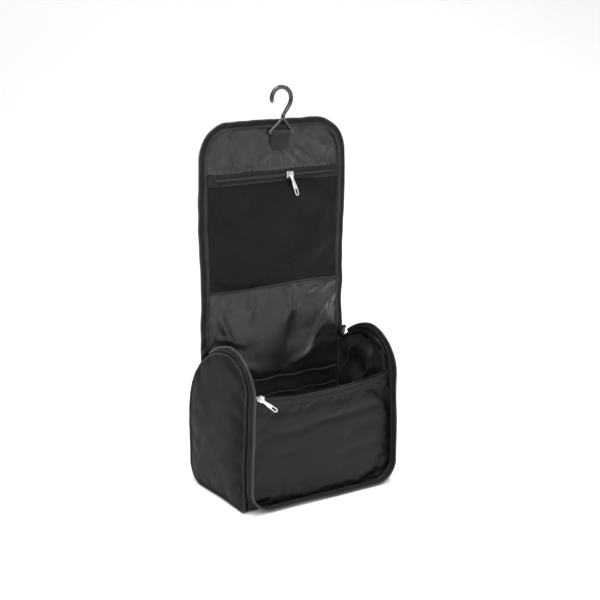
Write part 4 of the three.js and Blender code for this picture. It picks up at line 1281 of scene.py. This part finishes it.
def plate(outline, holes, low, high, bevel):
    """A flat plate with bevelled rims, its outline in (a, b) and its depth from low to high."""
    curve = bpy.data.curves.new("plate", "CURVE")
    curve.dimensions = "2D"
    curve.fill_mode = "BOTH"
    curve.extrude = (high - low) / 2 - bevel
    curve.bevel_depth = bevel
    curve.bevel_resolution = 2
    curve.offset = -bevel
    for ring in (outline, *holes):
        spline = curve.splines.new("POLY")
        spline.points.add(len(ring) - 1)
        for point, (a, b) in zip(spline.points, ring):
            point.co = (a, b, 0, 1)
        spline.use_cyclic_u = True
    holder = bpy.data.objects.new("plate", curve)
    bpy.context.scene.collection.objects.link(holder)
    graph = bpy.context.evaluated_depsgraph_get()
    mesh = bpy.data.meshes.new_from_object(holder.evaluated_get(graph))
    welded = bmesh.new()
    welded.from_mesh(mesh)
    bmesh.ops.remove_doubles(welded, verts=welded.verts, dist=1e-6)
    bmesh.ops.recalc_face_normals(welded, faces=welded.faces)
    verts = np.array([v.co for v in welded.verts]) + [0, 0, (low + high) / 2]
    faces = [[v.index for v in face.verts] for face in welded.faces]
    welded.free()
    bpy.data.objects.remove(holder)
    bpy.data.curves.remove(curve)
    bpy.data.meshes.remove(mesh)
    return verts, faces


def turned(profile):
    """A solid turned about the depth axis from (radius, depth) pairs that start and end on the axis."""
    sides = 24
    radius, depth = np.array(profile[1:-1]).T
    a, b = circle(1, sides).T
    rings = stack(radius[:, None] * a, radius[:, None] * b, depth[:, None])
    verts = np.concatenate([rings.reshape(-1, 3), [[0, 0, profile[0][1]], [0, 0, profile[-1][1]]]])
    faces = [[r * sides + j, r * sides + (j + 1) % sides, (r + 1) * sides + (j + 1) % sides,
              (r + 1) * sides + j] for r in range(len(radius) - 1) for j in range(sides)]
    last = (len(radius) - 1) * sides
    for j in range(sides):
        k = (j + 1) % sides
        faces += [[len(verts) - 2, k, j], [len(verts) - 1, last + j, last + k]]
    return verts, faces


def placed(part, at, a_axis, b_axis, depth_axis):
    """Moves a part from (a, b, depth) to its place; its three axes make a right-handed set."""
    verts, faces = part
    axes = np.array([a_axis, b_axis, depth_axis], float)
    return verts @ axes + np.asarray(at, float), faces


METAL_CORNER = 35                   # degrees at which a casting's edge stays crisp


def assembled(name, parts, material):
    """One object from several parts."""
    verts, faces, base = [], [], 0
    for part_verts, part_faces in parts:
        verts.append(part_verts)
        faces += [[base + i for i in face] for face in part_faces]
        base += len(part_verts)
    return make_object(name, np.concatenate(verts), faces, material, corner=METAL_CORNER)


PULL_LENGTH = 29 * MM
EYE_R, EYE_HOLE = 3.4 * MM, 1.6 * MM
TAIL_R, SLOT_R, SLOT = 2.6 * MM, 1.2 * MM, 6 * MM
WAIST = 1.9 * MM
PULL_LOW, PULL_HIGH = 0.3 * MM, 1.5 * MM
PULL_BEVEL = 0.3 * MM
POST_R, POST_HEAD_R, POST_REACH, POST_HIGH = 1.2 * MM, 2.1 * MM, 1.9 * MM, 2.6 * MM


def pull_part():
    """A cast pull that hangs down from its eye at the origin, with a slot near its end."""
    tail = -(PULL_LENGTH - TAIL_R)
    outline = np.concatenate([
        arc((0, 0), EYE_R, -40, 220, 30), [[-WAIST, -5.2 * MM], [-WAIST, -8 * MM]],
        [[-TAIL_R, -13 * MM]], arc((0, tail), TAIL_R, 180, 360, 20), [[TAIL_R, -13 * MM]],
        [[WAIST, -8 * MM], [WAIST, -5.2 * MM]]])
    slot = np.concatenate([arc((0, tail + SLOT), SLOT_R, 180, 0), arc((0, tail), SLOT_R, 0, -180)])
    return plate(outline, [arc((0, 0), EYE_HOLE, 360, 0, 24)[:-1], slot[:-1]], PULL_LOW, PULL_HIGH,
                 PULL_BEVEL)


def post_part():
    """The post and domed head that a pull turns on."""
    dome = [(POST_HEAD_R, POST_REACH), (POST_HEAD_R, POST_REACH + 0.35 * MM),
            (POST_HEAD_R * 0.8, POST_HIGH - 0.1 * MM), (POST_HEAD_R * 0.4, POST_HIGH)]
    return turned([(0, -0.4 * MM), (POST_R, -0.4 * MM), (POST_R, POST_REACH), *dome, (0, POST_HIGH)])


def boat(length, half, nose=0.62):
    """A zip slider's outline: broad where the zip opens, narrower and round where it closes."""
    a = length / 2
    return np.concatenate([
        arc((-a + half * 0.55, 0), half * 0.55, 250, 110, 10),
        [[-a * 0.1, half * nose], [a * 0.45, half]],
        arc((a - half * 0.3, 0.7 * half), 0.3 * half, 80, 0, 6),
        arc((a - half * 0.3, -0.7 * half), 0.3 * half, 0, -80, 6),
        [[a * 0.45, -half], [-a * 0.1, -half * nose]]])


def tilted(degrees):
    """The axes of a part whose depth faces the front and whose length hangs down, turned towards +X."""
    t = math.radians(degrees)
    return (math.cos(t), 0, math.sin(t)), (-math.sin(t), 0, math.cos(t)), FRONTWARD


def rectangle(half_a, half_b, centre_b):
    """A rectangle's four corners in (a, b)."""
    return np.array([[1, 1], [-1, 1], [-1, -1], [1, -1]]) * [half_a, half_b] + [0, centre_b]


def add_metalwork(name, parts, at, axes, material, body, node):
    """A slider or a pull: its parts, moved to their place as one piece."""
    ride_for(assembled(name, [placed(part, at, *axes) for part in parts], material), body, node)


SLIDER_LENGTH = 10 * MM
flap_pivot = Vector(JOINTS["flap_pull_swing"]["pos_m"])
front_pivot = Vector(JOINTS["front_pull_swing"]["pos_m"])
main_pivot = Vector(JOINTS["main_pull_swing"]["pos_m"])
FLAP_PULL_TILT, FRONT_PULL_TILT = 20, 51

face_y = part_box("flap_zip_pull")[1].y + PULL_LOW
flap_slider_at = (flap_pivot.x, face_y, flap_pivot.z)
outline = boat(SLIDER_LENGTH, 4 * MM)
walls = [rectangle(4.384 * MM, 0.99 * MM, way * 3.0 * MM) for way in (-1, 1)]
slider = [plate(outline, [], -2.75 * MM, -1.2 * MM, 0.4 * MM),
          plate(outline * [0.62, 0.55], [], -1.6 * MM, 0, 0.4 * MM), post_part(),
          *[plate(wall, [], -4.3 * MM, -2.4 * MM, 0.2 * MM) for wall in walls]]
add_metalwork("flap_slider_body", slider, flap_slider_at, tilted(0), NICKEL, "flap_zip_slider",
              "flap_zip_slider")
add_metalwork("flap_pull_tab", [pull_part()], flap_slider_at, tilted(FLAP_PULL_TILT), NICKEL,
              "flap_zip_pull", "flap_zip_pull")

face_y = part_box("front_zip_pull")[1].y + PULL_LOW
front_slider_at = (front_pivot.x, face_y, front_pivot.z)
zip_tilt = -math.degrees(math.asin(-front_pivot.x / ZIP_R))
cheek = boat(SLIDER_LENGTH, 3.9 * MM, nose=0.8)
bridge = rectangle(3.818 * MM, 1.061 * MM, -1.346 * MM)
saddle = [plate(cheek, [], -1.3 * MM, 0, 0.35 * MM), plate(cheek, [], -5.7 * MM, -4.5 * MM, 0.35 * MM),
          plate(bridge, [], -5.0 * MM, -0.8 * MM, 0.3 * MM), post_part()]
add_metalwork("front_slider_body", saddle, front_slider_at, tilted(zip_tilt), NICKEL,
              "front_zip_slider", "front_zip_slider")
add_metalwork("front_pull_tab", [pull_part()], front_slider_at, tilted(FRONT_PULL_TILT), NICKEL,
              "front_zip_pull", "front_zip_pull")

main_low, main_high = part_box("main_zip_slider")
SIDEWAYS = ((0, 1, 0), (0, 0, 1), (1, 0, 0))
main_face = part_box("main_zip_pull")[0].x - PULL_LOW
main_at = (main_face, main_pivot.y, main_pivot.z)
depth = main_face - main_low.x
block = boat(main_high.z - main_low.z, (main_high.y - main_low.y) / 2)[::-1, ::-1]
main = [plate(block, [], -1.6 * MM, 0, 0.4 * MM), plate(block, [], -depth, -depth + 1.6 * MM, 0.4 * MM),
        plate(block * [0.5, 0.8], [], -depth + 1.2 * MM, -1.2 * MM, 0.2 * MM), post_part()]
# Painted shade: the main slider and its pull take the dark teeth finish, not nickel, so that they stay dark
# where they lie in shade beside the hinge.
add_metalwork("main_slider_body", main, main_at, SIDEWAYS, TEETH, "flap_hinge", "main_zip_slider")
add_metalwork("main_pull_tab", [pull_part()], main_at, SIDEWAYS, TEETH, "main_zip_pull",
              "main_zip_pull")


# ---- The hook and its webbing loop ----

hook_low, hook_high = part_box("hook")
loop_low, loop_high = loop_low - Vector((2.5, 0, 3.0)) * MM, loop_high + Vector((2.0, 0, 0)) * MM
HOOK_ROD_R, HOOK_WIRE_R = 2.8 * MM, 1.8 * MM
HOOK_Y = (hook_low.y + hook_high.y) / 2
BAR_Z = JOINTS["hook_fold"]["pos_m"][2]
CROOK_R = 14.2 * MM
CROOK_END = -28                     # degrees round the crook where its stem starts
CROOK_X, CROOK_Z = 9 * MM, hook_high.z - HOOK_ROD_R - CROOK_R
APEX = (11 * MM, BAR_Z + 18 * MM)
FEET = (hook_low.x + HOOK_WIRE_R, hook_high.x - HOOK_WIRE_R)


def hermite(start, start_way, end, end_way, count):
    """A smooth curve between two points with a given direction and pull at each."""
    t = np.linspace(0, 1, count)[:, None]
    return ((2 * t ** 3 - 3 * t ** 2 + 1) * np.array(start) + (t ** 3 - 2 * t ** 2 + t) * np.array(start_way)
            + (3 * t ** 2 - 2 * t ** 3) * np.array(end) + (t ** 3 - t ** 2) * np.array(end_way))


def rod(path, radius, closed=False):
    """A round rod along an (x, z) path in the hook's plane; its radius may change along it."""
    ahead = np.roll(path, -1, 0) - np.roll(path, 1, 0) if closed else np.gradient(path, axis=0)
    aside = unit(stack(-ahead[:, 1], 0, ahead[:, 0]))
    at = stack(path[:, 0], HOOK_Y, path[:, 1])
    section = scaled(circle(1, 16), np.broadcast_to(radius, len(path)))
    return tube_mesh(at, aside, BACKWARD, section, closed)


def rounded(points, sweeps):
    """A closed path with its corners cut round, by cutting each corner off again and again."""
    for _ in range(sweeps):
        after = np.roll(points, -1, 0)
        points = np.stack([0.75 * points + 0.25 * after, 0.25 * points + 0.75 * after], 1).reshape(-1, 2)
    return points


over = arc((CROOK_X, CROOK_Z), CROOK_R, 200, CROOK_END, 60)
last = math.radians(CROOK_END)
stem = hermite(over[-1], np.array([math.sin(last), -math.cos(last)]) * 24 * MM, APEX,
               np.array([-2 * MM, -16 * MM]), 26)
crook = np.concatenate([over, stem[1:]])
share = np.linspace(0, 1, len(crook))
tip = np.sqrt(1 - (1 - np.clip(share * len(crook) / 5, 0, 1)) ** 2)
crook_r = HOOK_ROD_R * np.maximum(tip, 0.2) * (1 - 0.22 * smooth(share, 0.7, 1))
corners = np.array([APEX, (FEET[1], BAR_Z), (FEET[0], BAR_Z)])
base = np.concatenate([np.linspace(a, b, 9)[:-1] for a, b in zip(corners, np.roll(corners, -1, 0))])
collar = np.linspace((APEX[0] + 0.9 * MM, APEX[1] + 4.2 * MM), (APEX[0] - 0.2 * MM, APEX[1] - 1.2 * MM), 6)
ride_for(assembled("hanging_hook", [
    rod(crook, crook_r),
    rod(rounded(base, 3), HOOK_WIRE_R, closed=True),
    rod(collar, HOOK_ROD_R * np.array([0.86, 0.98, 1.0, 1.0, 0.98, 0.8])),
], HOOK_PLASTIC), "hook", "hook")

LOOP_THICK = 0.8 * MM
LOOP_OUTER_R = 3.0 * MM
LOOP_WRAP = 240
RIB_PITCH = 1.5 * MM
BOX_STITCH = (2.5 * MM, 3.0 * MM)

loop_back = loop_high.y if loop_high.y < FLAP_FACE else FLAP_FACE - 0.3 * MM
loop_front = loop_back - 2 * LOOP_THICK
wrap = arc((HOOK_Y, BAR_Z), LOOP_OUTER_R, 0, LOOP_WRAP, 40)
loop_path = np.concatenate([
    np.linspace((loop_back, loop_low.z), (loop_back, BAR_Z - 1.5 * MM), 16), wrap,
    np.linspace((loop_front, BAR_Z - 4.5 * MM), (loop_front, loop_low.z), 14)])
loop_path = polyline(loop_path, 0.6 * MM)
loop_x = np.linspace(loop_low.x, loop_high.x, 62)[None, :]
loop_grid = stack(loop_x, loop_path[:, 0][:, None], loop_path[:, 1][:, None])
loop_normals = grid_normals(loop_grid, UP)
ribs = 0.12 * MM * np.sin(2 * math.pi * loop_x / RIB_PITCH)[..., None]
loop_piece = slab("hook_webbing", loop_grid + (ribs - 0.12 * MM) * loop_normals, loop_normals,
                  LOOP_THICK - 0.1 * MM, WEBBING)
ride_for(loop_piece, "flap_face", "hook_webbing_loop")
path_length(loop_path)
box_x = (loop_low.x + BOX_STITCH[0], loop_high.x - BOX_STITCH[0])
box_z = (loop_low.z + BOX_STITCH[1], loop_low.z + 11 * MM)
square = np.array([(box_x[a], box_z[b]) for a, b in ((0, 0), (1, 0), (1, 1), (0, 1), (0, 0))])
for number in range(4):
    ends = stack(square[number:number + 2, 0], loop_front - 0.1 * MM, square[number:number + 2, 1])
    way = unit(ends[1] - ends[0])
    line = stations(ends, FRONTWARD, np.cross(BACKWARD, way))
    add_stitches(f"loop_stitches_{number + 1}", line, "flap_face", length=1.9 * MM, pitch=TACK_PITCH)


# ---- Stage and lights: a pale floor that sweeps up behind, under soft light ----

FLOOR_HALF = 16.0
SWEEP_START, SWEEP_R, SWEEP_TOP = 2.6, 1.2, 6.0
FLOOR_DROP = 0.6 * MM
PAPER = 0.92
WORLD_LIGHT = 0.42
PAPER_GLOW = 0.14
LIGHT_AIM = Vector((0, 0, 0.2))
LIGHTS = [("key", (-0.8, -2.3, 2.1), 0.9, 42), ("fill", (1.3, -2.4, 1.0), 0.7, 8),
          ("top", (-0.3, -0.4, 2.7), 1.0, 60), ("rim", (1.8, 1.4, 2.2), 1.0, 34)]


def paper():
    """Pale studio paper with a faint tooth."""
    material = bpy.data.materials.new("paper")
    material.use_nodes = True
    tree = material.node_tree
    surface = tree.nodes["Principled BSDF"]
    coordinates = add_node(tree, "ShaderNodeTexCoord").outputs["Object"]
    shade = dark_and_light(tree, noise_height(tree, coordinates, 30.0), [PAPER - 0.01] * 3, [PAPER] * 3)
    set_inputs(tree, surface, {"Base Color": shade, "Roughness": 0.8, "Emission Color": (1, 1, 1, 1),
                               "Emission Strength": PAPER_GLOW})
    return material


def backdrop():
    """A floor under the bag that curves up into a wall behind it, facing along the camera's view."""
    rise = arc((SWEEP_START, SWEEP_R), SWEEP_R, -90, 0, 24)
    profile = np.concatenate([[[-FLOOR_HALF, 0]], rise, [[SWEEP_START + SWEEP_R, SWEEP_TOP]]])
    ahead = unit(np.array([AIM.x - EYE.x, AIM.y - EYE.y, 0]))
    aside = np.array([ahead[1], -ahead[0], 0])
    along = profile[:, 0:1] * ahead + profile[:, 1:2] * [0, 0, 1] - [0, 0, FLOOR_DROP]
    verts = np.concatenate([along - aside * FLOOR_HALF, along + aside * FLOOR_HALF])
    count = len(profile)
    faces = [[i, i + count, i + count + 1, i + 1] for i in range(count - 1)]
    mesh = bpy.data.meshes.new("backdrop")
    mesh.from_pydata(verts.tolist(), [], faces)
    mesh.polygons.foreach_set("use_smooth", [True] * len(faces))
    mesh.materials.append(paper())
    made = bpy.data.objects.new("backdrop", mesh)
    bpy.context.scene.collection.objects.link(made)
    return made


def add_light(name, place, size, power):
    """A soft square lamp that points at the middle of the bag."""
    light = bpy.data.lights.new(name, "AREA")
    light.size = size
    light.energy = power
    made = bpy.data.objects.new(name, light)
    made.location = place
    made.rotation_euler = (LIGHT_AIM - Vector(place)).to_track_quat("-Z", "Y").to_euler()
    bpy.context.scene.collection.objects.link(made)


for light in LIGHTS:
    add_light(*light)
world = bpy.data.worlds.new("studio")
world.use_nodes = True
world.node_tree.nodes["Background"].inputs["Color"].default_value = (1, 1, 1, 1)
world.node_tree.nodes["Background"].inputs["Strength"].default_value = WORLD_LIGHT
bpy.context.scene.world = world
bpy.context.scene.view_settings.view_transform = "Standard"
backdrop()
